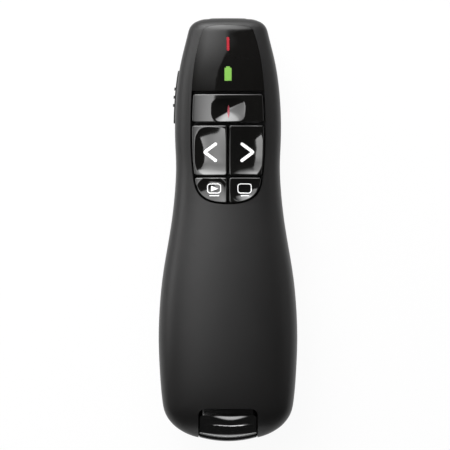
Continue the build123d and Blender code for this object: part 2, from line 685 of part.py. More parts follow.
def laser_holder():
    """Saddle that stands on the rear case and carries the barrel and the indicator board."""
    saddle = block((-HOLDER_HALF, HOLDER_HALF), (at(HOLDER_TO), at(HOLDER_FROM)), (0, HOLDER_TOP))
    saddle &= body_form(WALL + SEAT_GAP)
    return saddle - rod(0, (0, NOSE_Y), SEAM_NOSE_Z, BARREL_R + SCREW_GAP)


def nose_window():
    front = NOSE_Y - WINDOW_SINK
    return rod(0, (front - WINDOW_THICK, front), SEAM_NOSE_Z, WINDOW_R)


def indicator_board():
    wide, thick = INDICATOR_BOARD
    back, front = at(INDICATOR_TO), at(HOLDER_FROM)
    return slab((0, (back + front) / 2), (wide, front - back, thick), HOLDER_TOP)


def led(place):
    return slab((0, at(place)), LED_SIZE, LED_BASE)


# ---- Receiver ----------------------------------------------------------------------------------
def receiver_form(inset=0.0):
    """Outside of the receiver's housing, whose end follows the body's tail."""
    half, rise = RECEIVER_WIDTH / 2 - inset, RECEIVER_THICK / 2 - inset
    start = TAIL_Y - RECEIVER_THICK
    housing = block((-half, half), (start, PLUG_Y - inset), (RECEIVER_Z - rise, RECEIVER_Z + rise))
    housing = fillet(housing.edges().filter_by(Axis.Y), RECEIVER_CORNER - inset / 2)
    housing &= body_form(inset - RECEIVER_PROUD)
    return housing


def receiver_grip():
    """Raised end of the receiver, flush with the face, with a dish for the fingertip."""
    low, high = TAIL_Y - RECEIVER_THICK, TAIL_Y + GRIP_LENGTH
    half = RECEIVER_WIDTH / 2
    grip = block((-half, half), (low, high), (RECEIVER_Z, FAR))
    grip = fillet(grip.edges().filter_by(Axis.Z), RECEIVER_CORNER)
    grip &= body_form(GRIP_SINK)
    length, width, depth = GRIP_DISH
    y = TAIL_Y + GRIP_LENGTH - GRIP_LENGTH / 3
    top = RECEIVER_TOP + depth
    bowl = scale(Sphere(1), by=(length / 2, width, 2 * depth))
    return grip - Pos(0, y, top + depth) * bowl


def receiver_upper():
    above = block((-FAR, FAR), (-FAR * 2, FAR), (RECEIVER_Z, FAR))
    shell = (receiver_form() & above) + receiver_grip()
    return shell - receiver_form(RECEIVER_WALL) - plug_hole()


def receiver_lower():
    below = block((-FAR, FAR), (-FAR * 2, FAR), (0, RECEIVER_Z))
    return (receiver_form() & below) - receiver_form(RECEIVER_WALL) - plug_hole()


def plug_hole():
    grow = 2 * SCREW_GAP
    depth = (PLUG_Y - 2 * RECEIVER_WALL, RECEIVER_Y)
    return block(around(0, PLUG_WIDTH + grow), depth, around(RECEIVER_Z, PLUG_THICK + grow))


def receiver_board():
    width = RECEIVER_WIDTH - 2 * (RECEIVER_WALL + CELL_GAP)
    reach = (TAIL_Y + GRIP_LENGTH, PLUG_Y - 2 * RECEIVER_WALL - SCREW_GAP)
    return block(around(0, width), reach, around(RECEIVER_Z, BOARD_THICK))


def receiver_chip():
    size = (CHIP_SIZE, CHIP_SIZE, CHIP_HEIGHT)
    return slab((0, (TAIL_Y + RECEIVER_Y) / 2), size, RECEIVER_Z + BOARD_THICK / 2)


def plug_shell():
    start = PLUG_Y - 2 * RECEIVER_WALL
    span = (start, RECEIVER_Y)
    outer = block(around(0, PLUG_WIDTH), span, around(RECEIVER_Z, PLUG_THICK))
    inner = block(around(0, PLUG_WIDTH - 2 * PLUG_WALL), span, around(RECEIVER_Z, PLUG_THICK - 2 * PLUG_WALL))
    shell = fillet(outer.edges().filter_by(Axis.Y), PLUG_WALL) - inner
    for x in (-PLUG_WINDOW_X, PLUG_WINDOW_X):
        shell -= Pos(x, PLUG_Y + PLUG_LENGTH / 2, RECEIVER_Z) * Box(PLUG_WINDOW, PLUG_WINDOW, FAR)
    return shell


def plug_tongue():
    """Insulator inside the plug, resting on the shell's lower wall."""
    floor = RECEIVER_Z - PLUG_THICK / 2 + PLUG_WALL
    span = (PLUG_Y - 2 * RECEIVER_WALL, RECEIVER_Y - TONGUE_SHORT)
    return block(around(0, TONGUE_WIDTH), span, (floor, floor + TONGUE_THICK))


def plug_pins():
    """Contact strips in a row on the tongue."""
    top = RECEIVER_Z - PLUG_THICK / 2 + PLUG_WALL + TONGUE_THICK
    y = RECEIVER_Y - TONGUE_SHORT - (PIN_WIDTH + PIN_LENGTH) / 2
    places = [PIN_PITCH * (index - (PIN_COUNT - 1) / 2) for index in range(PIN_COUNT)]
    return Compound([slab((x, y), (PIN_WIDTH, PIN_LENGTH, PIN_THICK), top) for x in places])


# ---- Every piece, by node name -----------------------------------------------------------------
def pieces():
    parts = {
        "front_case": front_case(),
        "rear_case": rear_case(),
        "battery_door": battery_door(),
        "chassis": chassis(),
        "face_panel": face_panel(),
        "laser_indicator": light_pipe(laser_mark()),
        "battery_indicator": light_pipe(battery_mark()),
        "keypad_frame": keypad_frame(),
        "main_board": main_board(),
        "radio_chip": radio_chip(),
        "crystal": crystal(),
        "slide_switch_body": slide_switch_body(),
        "slide_switch_lever": slide_switch_lever(),
        "power_slider": power_slider(),
        "laser_barrel": laser_barrel(),
        "laser_lens": laser_lens(),
        "laser_diode": laser_diode(),
        "laser_driver": laser_driver(),
        "laser_holder": laser_holder(),
        "nose_window": nose_window(),
        "indicator_board": indicator_board(),
        "red_led": led(LASER_MARK[2]),
        "green_led": led(BATTERY_MARK[2]),
        "battery_1": cell(-CELL_X, False),
        "battery_2": cell(CELL_X, True),
        "contact_spring_1": contact_spring(-CELL_X, False),
        "contact_spring_2": contact_spring(CELL_X, True),
        "bridge_contact": bridge_contact(),
        "plus_contact": end_contact(-CELL_X),
        "minus_contact": end_contact(CELL_X),
        "receiver_upper": receiver_upper(),
        "receiver_lower": receiver_lower(),
        "receiver_board": receiver_board(),
        "receiver_chip": receiver_chip(),
        "plug_shell": plug_shell(),
        "plug_tongue": plug_tongue(),
        "plug_pins": plug_pins(),
    }
    for name in KEY_STEMS:
        parts[name] = key(name)
        parts[name.replace("key", "switch")] = key_switch_body(name)
        parts[name.replace("key", "plunger")] = key_switch_plunger(name)
    for index, (x, place) in enumerate(BOARD_SCREWS):
        parts[f"board_screw_{index + 1}"] = screw(x, at(place), BOARD_TOP, SCREW_LENGTH)
    for index, (x, place) in enumerate(CASE_SCREWS):
        parts[f"case_screw_{index + 1}"] = case_screw(x, place)
    return parts


os.makedirs("parts", exist_ok=True)
for node, piece in pieces().items():
    export_step(piece, f"parts/{node}.step")
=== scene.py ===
# %% [markdown]
# # A wireless presentation clicker
#
# The clicker is held in one hand. A soft black case carries a smoked window with two signal
# lights, five glossy keys, a power slider on the left side and a small radio receiver docked in
# the tail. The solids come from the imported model. This lesson dresses them: it stays with the
# solids where their shape is right, and builds finer pieces where gloss shows every curve.

# %% Load the frame
import math
from functools import partial

import bmesh
import bpy
import numpy as np
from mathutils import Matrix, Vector
from mathutils.bvhtree import BVHTree


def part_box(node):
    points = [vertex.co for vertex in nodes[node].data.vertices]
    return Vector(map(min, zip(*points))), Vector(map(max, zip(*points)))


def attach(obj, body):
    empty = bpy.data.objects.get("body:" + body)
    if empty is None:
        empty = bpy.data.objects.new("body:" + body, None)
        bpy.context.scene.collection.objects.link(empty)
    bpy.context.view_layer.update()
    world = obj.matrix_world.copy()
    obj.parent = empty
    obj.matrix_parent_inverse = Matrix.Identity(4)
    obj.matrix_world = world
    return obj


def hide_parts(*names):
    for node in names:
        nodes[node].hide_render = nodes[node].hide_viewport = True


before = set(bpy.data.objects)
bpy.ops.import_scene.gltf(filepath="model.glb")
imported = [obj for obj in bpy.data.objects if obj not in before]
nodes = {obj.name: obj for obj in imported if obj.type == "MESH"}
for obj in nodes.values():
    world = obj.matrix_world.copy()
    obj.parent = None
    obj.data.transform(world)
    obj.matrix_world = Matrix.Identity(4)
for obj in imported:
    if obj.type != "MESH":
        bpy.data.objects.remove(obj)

MM = 0.001
for left_over in ("Cube", "Light", "Camera"):
    if left_over in bpy.data.objects:
        bpy.data.objects.remove(bpy.data.objects[left_over])
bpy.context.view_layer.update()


# %% [markdown]
# ## The camera
#
# The clicker is seen straight from above. A long lens far away keeps the sides upright, as a
# flat view would, and yet it can be turned round the object later. The distance follows from
# the lens and from the width that the picture has to take in.

# %% Place the camera
VIEW_WIDTH = 123.29                     # in mm across, at the seam's height
VIEW_CENTRE = (-0.82, 1.15, 15.0)       # in mm, the last one is the seam's height
LENS = 250                              # focal length in mm
NEAREST, FARTHEST = 0.01, 10            # what the camera shows, in m

camera_data = bpy.data.cameras.new("long_lens")
camera_data.lens = LENS
camera_data.clip_start, camera_data.clip_end = NEAREST, FARTHEST
camera = bpy.data.objects.new("camera", camera_data)
distance = VIEW_WIDTH * MM / 2 / (camera_data.sensor_width / 2 / LENS)
camera.location = Vector(VIEW_CENTRE) * MM + Vector((0, 0, distance))
bpy.context.scene.collection.objects.link(camera)
bpy.context.scene.camera = camera
print("camera", round(distance, 3), "m above the seam")

# %% [markdown]
# ## Writing node trees as sums
#
# A finish or a shape rule is a formula, and a formula is easier to read as a sum than as a row
# of nodes. The class below holds one socket. Adding, multiplying or comparing it adds the Math
# node that does so, and also works with a plain number on either side. Everything that isn't a
# sum comes from one method, which takes the node's type, its settings and its inputs.

# %% A socket that can be used in a sum
class Wire:
    """A node's output, which adds Math nodes when it is used in a sum."""

    def __init__(self, tree, socket=None):
        self.tree, self.socket = tree, socket

    def node(self, kind, settings=None, inputs=None, out=0):
        """Adds a node of a type: its settings first, then the values or links of its inputs."""
        made = self.tree.nodes.new(kind)
        for key, value in (settings or {}).items():
            if key == "stops":
                ramp = made.color_ramp.elements
                while len(ramp) < len(value):
                    ramp.new(1.0)
                for stop, (place, colour) in zip(ramp, value):
                    stop.position, stop.color = place, (*colour, 1)
            else:
                setattr(made, key, value)
        for key, value in (inputs or {}).items():
            if isinstance(value, Wire):
                self.tree.links.new(value.socket, made.inputs[key])
            else:
                made.inputs[key].default_value = value
        return Wire(self.tree, made.outputs[out] if len(made.outputs) else None)

    def math(self, operation, *others, clamp=False):
        """Adds a Math node that takes this socket first."""
        inputs = dict(enumerate((self, *others)))
        return self.node("ShaderNodeMath", {"operation": operation, "use_clamp": clamp}, inputs)

    def __add__(self, other): return self.math("ADD", other)
    def __sub__(self, other): return self.math("SUBTRACT", other)
    def __mul__(self, other): return self.math("MULTIPLY", other)
    def __truediv__(self, other): return self.math("DIVIDE", other)
    def __pow__(self, other): return self.math("POWER", other)
    def __abs__(self): return self.math("ABSOLUTE")
    def __gt__(self, other): return self.math("GREATER_THAN", other)
    def __lt__(self, other): return self.math("LESS_THAN", other)
    __radd__, __rmul__ = __add__, __mul__

    def __rsub__(self, other):
        return self.node("ShaderNodeMath", {"operation": "SUBTRACT"}, {0: other, 1: self})

    def __rtruediv__(self, other):
        return self.node("ShaderNodeMath", {"operation": "DIVIDE"}, {0: other, 1: self})

    def held(self):
        """The value, held between 0 and 1."""
        return self.math("ADD", 0.0, clamp=True)

    def ramp(self, start, end):
        """0 where the value is at the start, 1 at the end, and held beyond them."""
        return ((self - start) / (end - start)).held()


print("sums of sockets are ready")

# %% [markdown]
# ## Helpers for finishes
#
# Every finish starts from the Principled shader. Patterns are measured in millimetres on the
# piece itself, so that a grain has the same size on every piece and stays put when a piece
# moves. What changes over the surface feeds only colour, roughness, metal, coat and bump. A
# table keeps each finish under its name.

# %% Start a finish
finishes = {}


def feed(material, **inputs):
    """Sets constants on the shader's sockets, and links wires to them."""
    tree = material.node_tree
    shader = tree.nodes["Principled BSDF"]
    for key, value in inputs.items():
        socket = shader.inputs[key.replace("_", " ").title().replace("Ior", "IOR")]
        if isinstance(value, Wire):
            tree.links.new(value.socket, socket)
        else:
            socket.default_value = (*value, 1) if isinstance(value, tuple) else value


def start_finish(name, **constants):
    """A material with its shader, and a wire that carries the place on the piece in mm."""
    material = finishes[name] = bpy.data.materials.new(name + "_finish")
    material.use_nodes = True
    feed(material, **constants)
    place = Wire(material.node_tree).node("ShaderNodeTexCoord", out=3)
    place = place.node("ShaderNodeVectorMath", {"operation": "SCALE"}, {0: place, 3: 1 / MM})
    return material, place


def noise(place, per_mm, detail, stretch=(1, 1, 1)):
    """Soft random pattern with so many grains to the millimetre."""
    place = place.node("ShaderNodeVectorMath", {"operation": "MULTIPLY"}, {0: place, 1: stretch})
    settings = {"Vector": place, "Scale": per_mm, "Detail": detail}
    return place.node("ShaderNodeTexNoise", {}, settings)


def times(colour, share):
    """A colour made darker or paler."""
    return tuple(c * share for c in colour)


def tint(factor, low, high):
    """Colour between two, by a factor."""
    ramp = {"stops": [(0.0, low), (1.0, high)]}
    return factor.node("ShaderNodeValToRGB", ramp, {"Fac": factor})


def bump(height, depth_mm, strength):
    """Normal from a height pattern of a given depth."""
    relief = {"Height": height, "Distance": depth_mm * MM, "Strength": strength}
    return height.node("ShaderNodeBump", {}, relief)


def axes(place):
    """The three coordinates of a place, each as a wire."""
    return [place.node("ShaderNodeSeparateXYZ", {}, {0: place}, out=n) for n in range(3)]


print("finish helpers are ready")

# %% [markdown]
# ## The soft case
#
# The case is sprayed with a soft-touch paint: nearly black, with a very fine grain that scatters
# the light and a faint cloudiness where hands have polished it. Grain and cloudiness are two
# noises of very different size. The grain moves the bump, the clouds change the roughness, and
# both of them tint the colour a little.

# %% Soft-touch paint
CLOUDS_PER_MM, GRAINS_PER_MM = 0.06, 5.0


def soft_touch(name, colour, roughness, specular, grain_mm=0.012):
    """Matt paint with a fine grain and slow clouds."""
    material, place = start_finish(name, base_color=colour, roughness=roughness, ior=1.46,
                                   specular_ior_level=specular)
    clouds, fine = noise(place, CLOUDS_PER_MM, 3), noise(place, GRAINS_PER_MM, 3)
    shade = tint(clouds * 0.6 + fine * 0.4, times(colour, 0.86), times(colour, 1.14))
    feed(material, base_color=shade, roughness=roughness - 0.05 + clouds * 0.1,
         normal=bump(fine, grain_mm, 0.55))


soft_touch("case_soft_black", (0.0080, 0.0077, 0.0077), 0.42, 0.4)
soft_touch("slider_black", (0.010, 0.0097, 0.0097), 0.4, 0.5)
soft_touch("inner_black", (0.010, 0.010, 0.010), 0.6, 0.3, grain_mm=0.02)
print("soft paints:", *finishes)

# %% [markdown]
# ## Glossy mouldings
#
# Keys, window and receiver are polished plastic. A polished surface is never perfect: it has a
# slow waviness from the mould and a haze of fine wiping marks, which a streaky noise in the
# roughness gives. The base is almost black, so that nearly all of what is seen is reflection.
# The window's gloss is a clear coat, which is full at the nose and thins out towards the keys.

# %% Polished plastic
HAZE_PER_MM, SPECKS_PER_MM, WAVES_PER_MM = 0.5, 3.0, 0.12
STREAKS = (1.0, 0.25, 1.0)              # the haze is drawn out along the clicker
SPECKS_ABOVE = 0.74                     # only the noise's highest places become dull specks
WAVE_DEPTH = 0.004                      # in mm


def polished(name, colour, roughness, specular):
    """Gloss with a little haze, specks and waviness."""
    material, place = start_finish(name, base_color=colour, roughness=roughness, ior=1.5,
                                   specular_ior_level=specular)
    haze, specks = noise(place, HAZE_PER_MM, 4, STREAKS), noise(place, SPECKS_PER_MM, 2)
    feed(material, roughness=roughness + haze * 0.03 + (specks > SPECKS_ABOVE) * 0.05,
         base_color=tint(haze, colour, times(colour, 1.5)),
         normal=bump(noise(place, WAVES_PER_MM, 1), WAVE_DEPTH, 0.5))
    return material


def thinning_coat(material, roughness, ior, bare, full):
    """Clear coat that thins out along the clicker, from its full place to its bare one, in mm."""
    _, y, _ = axes(Wire(material.node_tree).node("ShaderNodeTexCoord", out=3))
    feed(material, coat_roughness=roughness, coat_ior=ior,
         coat_weight=y.ramp(bare * MM, full * MM))


polished("key_gloss_black", (0.0030, 0.0029, 0.0027), 0.05, 0.76)
window = polished("panel_smoked", (0.0040, 0.0038, 0.0036), 0.05, 0.0)
thinning_coat(window, 0.05, 1.41, bare=36.5, full=58.0)
polished("receiver_gloss_black", (0.006, 0.006, 0.006), 0.08, 1.0)
print("polished:", *list(finishes)[-3:])

# %% [markdown]
# ## Signal lights
#
# The two signs in the window are the tops of light pipes. A light pipe glows from inside, so it
# is a tinted plastic with a little light of its own, and milky clouds vary both by a tenth. The
# windows of the diodes below are of the same kind, but don't glow.

# %% Light pipes and diodes
def light_pipe(name, colour, glow):
    """Tinted milky plastic that may glow."""
    material, place = start_finish(name, base_color=colour, roughness=0.35,
                                   emission_strength=glow, specular_ior_level=0.15)
    milky = noise(place, 2.5, 2)
    shade = tint(milky, times(colour, 0.9), colour)
    feed(material, base_color=shade, emission_color=shade, normal=bump(milky, 0.005, 0.4))


light_pipe("red_light", (0.29, 0.004, 0.014), 0.1)
light_pipe("green_light", (0.165, 0.37, 0.064), 0.1)
light_pipe("red_diode", (0.6, 0.06, 0.05), 0.0)
light_pipe("green_diode", (0.2, 0.5, 0.12), 0.0)
print("lights:", *list(finishes)[-4:])

# %% [markdown]
# ## Metals
#
# Stamped contacts, screws, the plug and the laser's barrel differ in colour and in the direction
# of their drawing marks. One function stretches a noise along the marks, and uses it for the
# roughness and for a very shallow bump.

# %% Drawn and turned metals
MARKS_PER_MM, TARNISH_PER_MM, MARK_DEPTH = 1.2, 0.35, 0.006


def metal(name, colour, roughness, marks):
    """Metal with drawing marks along the axis whose stretch is smallest, and a slow tarnish."""
    material, place = start_finish(name, base_color=colour, roughness=roughness, metallic=1.0)
    lines, tarnish = noise(place, MARKS_PER_MM, 3, marks), noise(place, TARNISH_PER_MM, 3)
    feed(material, roughness=roughness - 0.08 + lines * 0.16 + tarnish * 0.06,
         base_color=tint(tarnish, times(colour, 0.82), colour),
         normal=bump(lines, MARK_DEPTH, 0.5))


metal("can_steel", (0.55, 0.55, 0.56), 0.28, (1, 8, 8))
metal("switch_steel", (0.6, 0.6, 0.6), 0.3, (6, 1, 6))
metal("screw_steel", (0.32, 0.32, 0.33), 0.34, (4, 4, 4))
metal("barrel_brass", (0.62, 0.45, 0.2), 0.25, (8, 1, 8))
metal("contact_steel", (0.66, 0.65, 0.62), 0.25, (1, 6, 6))
metal("plug_steel", (0.7, 0.7, 0.71), 0.22, (8, 1, 8))
metal("pin_gold", (0.83, 0.6, 0.22), 0.22, (6, 1, 6))
print("metals:", *list(finishes)[-7:])

# %% [markdown]
# ## The circuit boards
#
# Behind the door and in the receiver there are green circuit boards, with copper runs under the
# lacquer. A wave that repeats across the board draws one run where it rises and one where it
# falls, and a slow noise breaks the runs up.

# %% Lacquered board
RUN_WAVES, RUN_HALF = 0.9, 0.07         # waves to the millimetre, half a run's part of a wave
RUN_DEPTH, BREAKS_PER_MM, CLOUDS_ON_BOARD = 0.03, 0.35, 0.8
GREEN_DEEP, GREEN_PALE = (0.010, 0.075, 0.03), (0.05, 0.2, 0.07)


def lacquered_board(name):
    """Green lacquer over raised copper runs."""
    material, place = start_finish(name, base_color=(0.012, 0.09, 0.035), roughness=0.32)
    x, _, _ = axes(place)
    runs = (abs((x * RUN_WAVES).math("PINGPONG", 0.5) - 0.25) < RUN_HALF).held()
    copper = (runs * (noise(place, BREAKS_PER_MM, 1) > 0.5)).held()
    cloud = noise(place, CLOUDS_ON_BOARD, 2)
    feed(material, base_color=tint(copper * 0.75 + cloud * 0.25, GREEN_DEEP, GREEN_PALE),
         normal=bump(copper, RUN_DEPTH, 0.6), roughness=0.28 + cloud * 0.12)


lacquered_board("board_green")
print("board runs are", round(0.5 / RUN_WAVES, 2), "mm apart")

# %% [markdown]
# ## Small mouldings and printed ink
#
# Chips, plungers, the white tongue in the plug, the laser's red lens and the ink of the keys'
# signs are plain in colour. They share one fine grain, and differ in colour and gloss.

# %% Plain mouldings
def moulded(name, colour, roughness, grain_mm=0.01):
    """Plain plastic or ink with a fine grain."""
    material, place = start_finish(name, base_color=colour, roughness=roughness)
    grain = noise(place, 2.2, 3)
    feed(material, base_color=tint(grain, times(colour, 0.88), colour),
         roughness=roughness - 0.05 + grain * 0.1, normal=bump(grain, grain_mm, 0.5))


moulded("chip_black", (0.016, 0.016, 0.017), 0.55)
moulded("plunger_black", (0.02, 0.02, 0.02), 0.4)
moulded("tongue_white", (0.75, 0.75, 0.72), 0.4)
moulded("lens_glass", (0.10, 0.012, 0.014), 0.05, 0.001)
moulded("legend_white", (0.97, 0.97, 0.97), 0.45, 0.004)
moulded("mark_red", (0.27, 0.022, 0.04), 0.5, 0.004)
print("mouldings and inks:", *list(finishes)[-6:])

# %% [markdown]
# ## The cells
#
# A cell has a printed wrap, dark with a coppery collar towards its button, and bare steel at both
# ends. Both bands are measured from the cell's ends, so that they stay in place on either cell.

# %% Wrapped cells
COLLAR_TO, BUTTON_TO, BASE_TO = 11.5, 1.6, 0.8      # how far from the cell's two ends, in mm
WRAP_DARK, WRAP_COPPER, CELL_STEEL = (0.018, 0.02, 0.024), (0.45, 0.2, 0.06), (0.6, 0.6, 0.6, 1)
cell_ends = [corner.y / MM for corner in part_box("battery_1")]


def wrapped_cell(name):
    """Dark wrap with a coppery collar and steel ends."""
    material, place = start_finish(name, base_color=(0.02, 0.02, 0.022), roughness=0.3)
    _, y, _ = axes(place)
    button = cell_ends[1] - BUTTON_TO
    collar = ((y > cell_ends[1] - COLLAR_TO) * (y < button)).held()
    ends = ((y > button) + (y < cell_ends[0] + BASE_TO)).held()
    print_grain = noise(place, 1.5, 2)
    wrap = tint(collar + print_grain * 0.05, WRAP_DARK, WRAP_COPPER)
    bands = {0: ends, 6: wrap, 7: CELL_STEEL}
    shade = place.node("ShaderNodeMix", {"data_type": "RGBA"}, bands, out=2)
    feed(material, base_color=shade, metallic=ends * 0.95 + collar * 0.3,
         roughness=0.26 + print_grain * 0.1, normal=bump(print_grain, 0.01, 0.4))


wrapped_cell("cell_wrap")
print("cells are", round(cell_ends[1] - cell_ends[0], 1), "mm long")

# %% [markdown]
# ## Painting the solids
#
# A solid whose shape is right stays as it is and only changes its finish. The record already
# names the finish of each node, and the table holds the materials under the same names, so one
# pass paints them all.

# %% Paint every solid
for solid in nodes.values():
    for slot in solid.material_slots:
        slot.material = finishes[slot.material.name]
print("painted", len(nodes), "solids from", len(finishes), "finishes")

# %% [markdown]
# ## The height of the face
#
# Keys and signs follow the curved face of the case, so its height has to be known anywhere. The
# case is drawn through sections: each has a half width and a height, and between them the same
# rounded curve is stretched. The sections of the face are repeated here, and a smooth line is
# drawn through them.

# %% Work out the face
FACE_ROWS = np.array([                  # place along, half width and height of the face, in mm
    (57.75, 9.998, 18.796), (45.675, 12.909, 21.098), (37.625, 14.081, 21.756),
    (29.575, 14.515, 22.057), (23.825, 14.459, 22.221), (17.5, 14.213, 22.468),
    (11.75, 14.421, 22.961), (4.85, 15.063, 23.838), (-3.2, 16.254, 24.989),
    (-12.4, 17.766, 26.14), (-21.6, 18.654, 26.962), (-30.225, 18.9, 27.345),
    (-38.275, 18.598, 27.29), (-46.325, 17.917, 26.688), (-57.25, 16.878, 25.4),
])[::-1]
SEAM_ENDS, SEAM_HEIGHTS = (-62.25, 62.75), (17.85, 10.4, 12.6)
CURVE_ACROSS, CURVE_RISE = (1, 1, 1.2, -1.2, -1, -1), (0, 1, 1.1, 1.1, 1, 0)


def smooth_line(places, values):
    """Smooth line through points: a cubic in each gap, with slopes that meet."""
    gap, rise = np.diff(places), np.diff(values)
    count = len(places)
    system, right = np.eye(count), np.zeros(count)
    for k in range(1, count - 1):
        system[k, k - 1:k + 2] = gap[k - 1], 2 * (gap[k - 1] + gap[k]), gap[k]
        right[k] = 6 * (rise[k] / gap[k] - rise[k - 1] / gap[k - 1])
    bend = np.linalg.solve(system, right)

    def at(place):
        k = np.clip(np.searchsorted(places, place) - 1, 0, count - 2)
        a, b = (places[k + 1] - place) / gap[k], (place - places[k]) / gap[k]
        curve = ((a ** 3 - a) * bend[k] + (b ** 3 - b) * bend[k + 1]) * gap[k] ** 2 / 6
        return a * values[k] + b * values[k + 1] + curve

    return at


half_width_at = smooth_line(FACE_ROWS[:, 0], FACE_ROWS[:, 1])
top_height_at = smooth_line(FACE_ROWS[:, 0], FACE_ROWS[:, 2])
turn = np.linspace(0, 0.5, 400)
weights = [math.comb(5, k) * turn ** k * (1 - turn) ** (5 - k) for k in range(6)]
across, rises = (sum(p * w for p, w in zip(points, weights))
                 for points in (CURVE_ACROSS, CURVE_RISE))


def face_height(x, y):
    """Height of the case's face in mm over a place in mm."""
    x, y = np.asarray(x, float), np.asarray(y, float)
    share = np.interp(np.abs(x) / half_width_at(y), across[::-1], rises[::-1])
    t = (y - SEAM_ENDS[0]) / (SEAM_ENDS[1] - SEAM_ENDS[0])
    low, middle, high = SEAM_HEIGHTS
    seam = (1 - t) ** 2 * low + 2 * t * (1 - t) * middle + t ** 2 * high
    return seam + (top_height_at(y) - seam) * share


print("the face is", round(float(face_height(0, 0)), 2), "mm high at the middle")

# %% [markdown]
# ## Checking the face
#
# A rule that is written down twice can drift apart. Rays sent down onto the solids tell how well
# the rule above agrees with them.

# %% Check the face with rays
RAYS_FROM, RAY_STEP = 60, 1.3           # start height and spacing in mm
LEVEL = 0.8                             # upward part of a level face's normal, at least
FAR_OFF = 0.5                           # in mm; larger misses have hit something else


def rays_onto(name):
    """Where rays from above land on a solid's level faces, in mm."""
    mesh = nodes[name].data
    tree = BVHTree.FromPolygons([v.co for v in mesh.vertices], [p.vertices for p in mesh.polygons])
    low, high = (np.array(corner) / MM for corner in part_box(name))
    for x in np.arange(low[0], high[0], RAY_STEP):
        for y in np.arange(low[1], high[1], RAY_STEP):
            hit, normal, _, _ = tree.ray_cast(Vector((x, y, RAYS_FROM)) * MM, Vector((0, 0, -1)))
            if hit and normal.z > LEVEL:
                yield x, y, hit.z / MM


for name in ("face_panel", "front_case"):
    x, y, z = np.array(list(rays_onto(name))).T
    miss = abs(face_height(x, y) - z)
    near = miss < FAR_OFF
    print(name, near.sum(), "rays, off by", round(float(miss[near].mean()), 3), "mm on average")

# %% [markdown]
# ## Shape rules as Geometry Nodes
#
# Some shapes follow a rule: a key top is the case's face, sunk a little, pressed in by a finger
# dish and rounded off at its rim. Such a rule is drawn as a node tree with named inputs, and
# the same tree then makes every key. The two helpers below start a tree with its inputs, and end
# it in real geometry with a material.

# %% Start and end a tree
SOCKETS = {float: "NodeSocketFloat", int: "NodeSocketInt", tuple: "NodeSocketVector"}


def start_tree(name, **inputs):
    """A tree with named inputs; returns it, and a wire for its geometry and for each input."""
    tree = bpy.data.node_groups.new(name, "GeometryNodeTree")
    for way in ("OUTPUT", "INPUT"):
        tree.interface.new_socket("Geometry", in_out=way, socket_type="NodeSocketGeometry")
    for key, value in inputs.items():
        made = tree.interface.new_socket(key, in_out="INPUT", socket_type=SOCKETS[type(value)])
        made.default_value = value
    tree.interface.new_socket("material", in_out="INPUT", socket_type="NodeSocketMaterial")
    group = tree.nodes.new("NodeGroupInput")
    return tree, {socket.name: Wire(tree, socket) for socket in group.outputs if socket.name}


def end_tree(tree, geometry, material):
    """Ends a tree in real geometry with its material."""
    real = geometry.node("GeometryNodeRealizeInstances", {}, {0: geometry})
    done = real.node("GeometryNodeSetMaterial", {}, {"Geometry": real, "Material": material})
    out = tree.nodes.new("NodeGroupOutput")
    tree.links.new(done.socket, out.inputs[0])
    print("tree", tree.name, "has", len(tree.nodes), "nodes")


print("tree helpers are ready")

# %% [markdown]
# ## Keeping a piece
#
# Whatever makes a mesh, the piece is kept in the same way: it rides on a body, and where it stands
# in for a solid, that solid is hidden. A piece that a tree makes is first turned into a plain
# mesh.

# %% Keep a mesh, or what a tree makes
def keep_mesh(name, mesh, body, finish, replaced=None, smooth=True):
    """A mesh as a piece that rides on a body, and that may stand in for a solid."""
    mesh.name = name
    piece = bpy.data.objects.new(name, mesh)
    bpy.context.scene.collection.objects.link(piece)
    if not mesh.materials:
        mesh.materials.append(finishes[finish])
    mesh.polygons.foreach_set("use_smooth", [smooth] * len(mesh.polygons))
    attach(piece, body)
    if replaced:
        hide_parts(replaced)
    print(name, "has", len(mesh.polygons), "faces")
    return piece


def grow(name, tree, body, finish, mesh=None, replaced=None, smooth=True, **values):
    """Runs a tree, keeps the outcome as a plain mesh and lets it ride on a body."""
    start = mesh or bpy.data.meshes.new(name + "_source")
    start.materials.append(finishes[finish])
    source = bpy.data.objects.new(name + "_source", start)
    bpy.context.scene.collection.objects.link(source)
    modifier = source.modifiers.new("grow", "NODES")
    modifier.node_group = tree
    values["material"] = finishes[finish]
    for socket in tree.interface.items_tree:
        if socket.in_out == "INPUT" and socket.name in values:
            modifier[socket.identifier] = values[socket.name]
    graph = bpy.context.evaluated_depsgraph_get()
    made = bpy.data.meshes.new_from_object(source.evaluated_get(graph), depsgraph=graph)
    source.modifiers.clear()
    bpy.data.objects.remove(source)
    return keep_mesh(name, made, body, finish, replaced, smooth)


print("pieces can be kept")

# %% [markdown]
# ## The outline of a key
#
# A finer key top has to fill the same opening, so it starts from the solid key's own rim: the
# edges between its upright wall and its top, seen from above. They are put in order, drawn again
# with evenly spaced points and softened a little.

# %% Find the rims of the keys
KEYS = ("laser", "back", "next", "slideshow", "blank_screen")
RIMS_ABOVE = 18.9                       # in mm; edges below belong to the undersides
UPRIGHT, TOP = 0.1, 0.3                 # upward part of a wall's normal at most, a top's at least
RIM_POINTS, SOFTENINGS = 240, 2
LINE_STEP = 0.12                        # in mm, where no number of points is given


def evenly(line, count=None, closed=False):
    """A line drawn again with evenly spaced points, so many or about a step apart."""
    along = np.concatenate([[0], np.cumsum(np.hypot(*np.diff(line, axis=0).T))])
    count = count or max(3, int(along[-1] / LINE_STEP))
    even = np.linspace(0, along[-1], count, endpoint=not closed)
    return np.stack([np.interp(even, along, line[:, k]) for k in (0, 1)], axis=1)


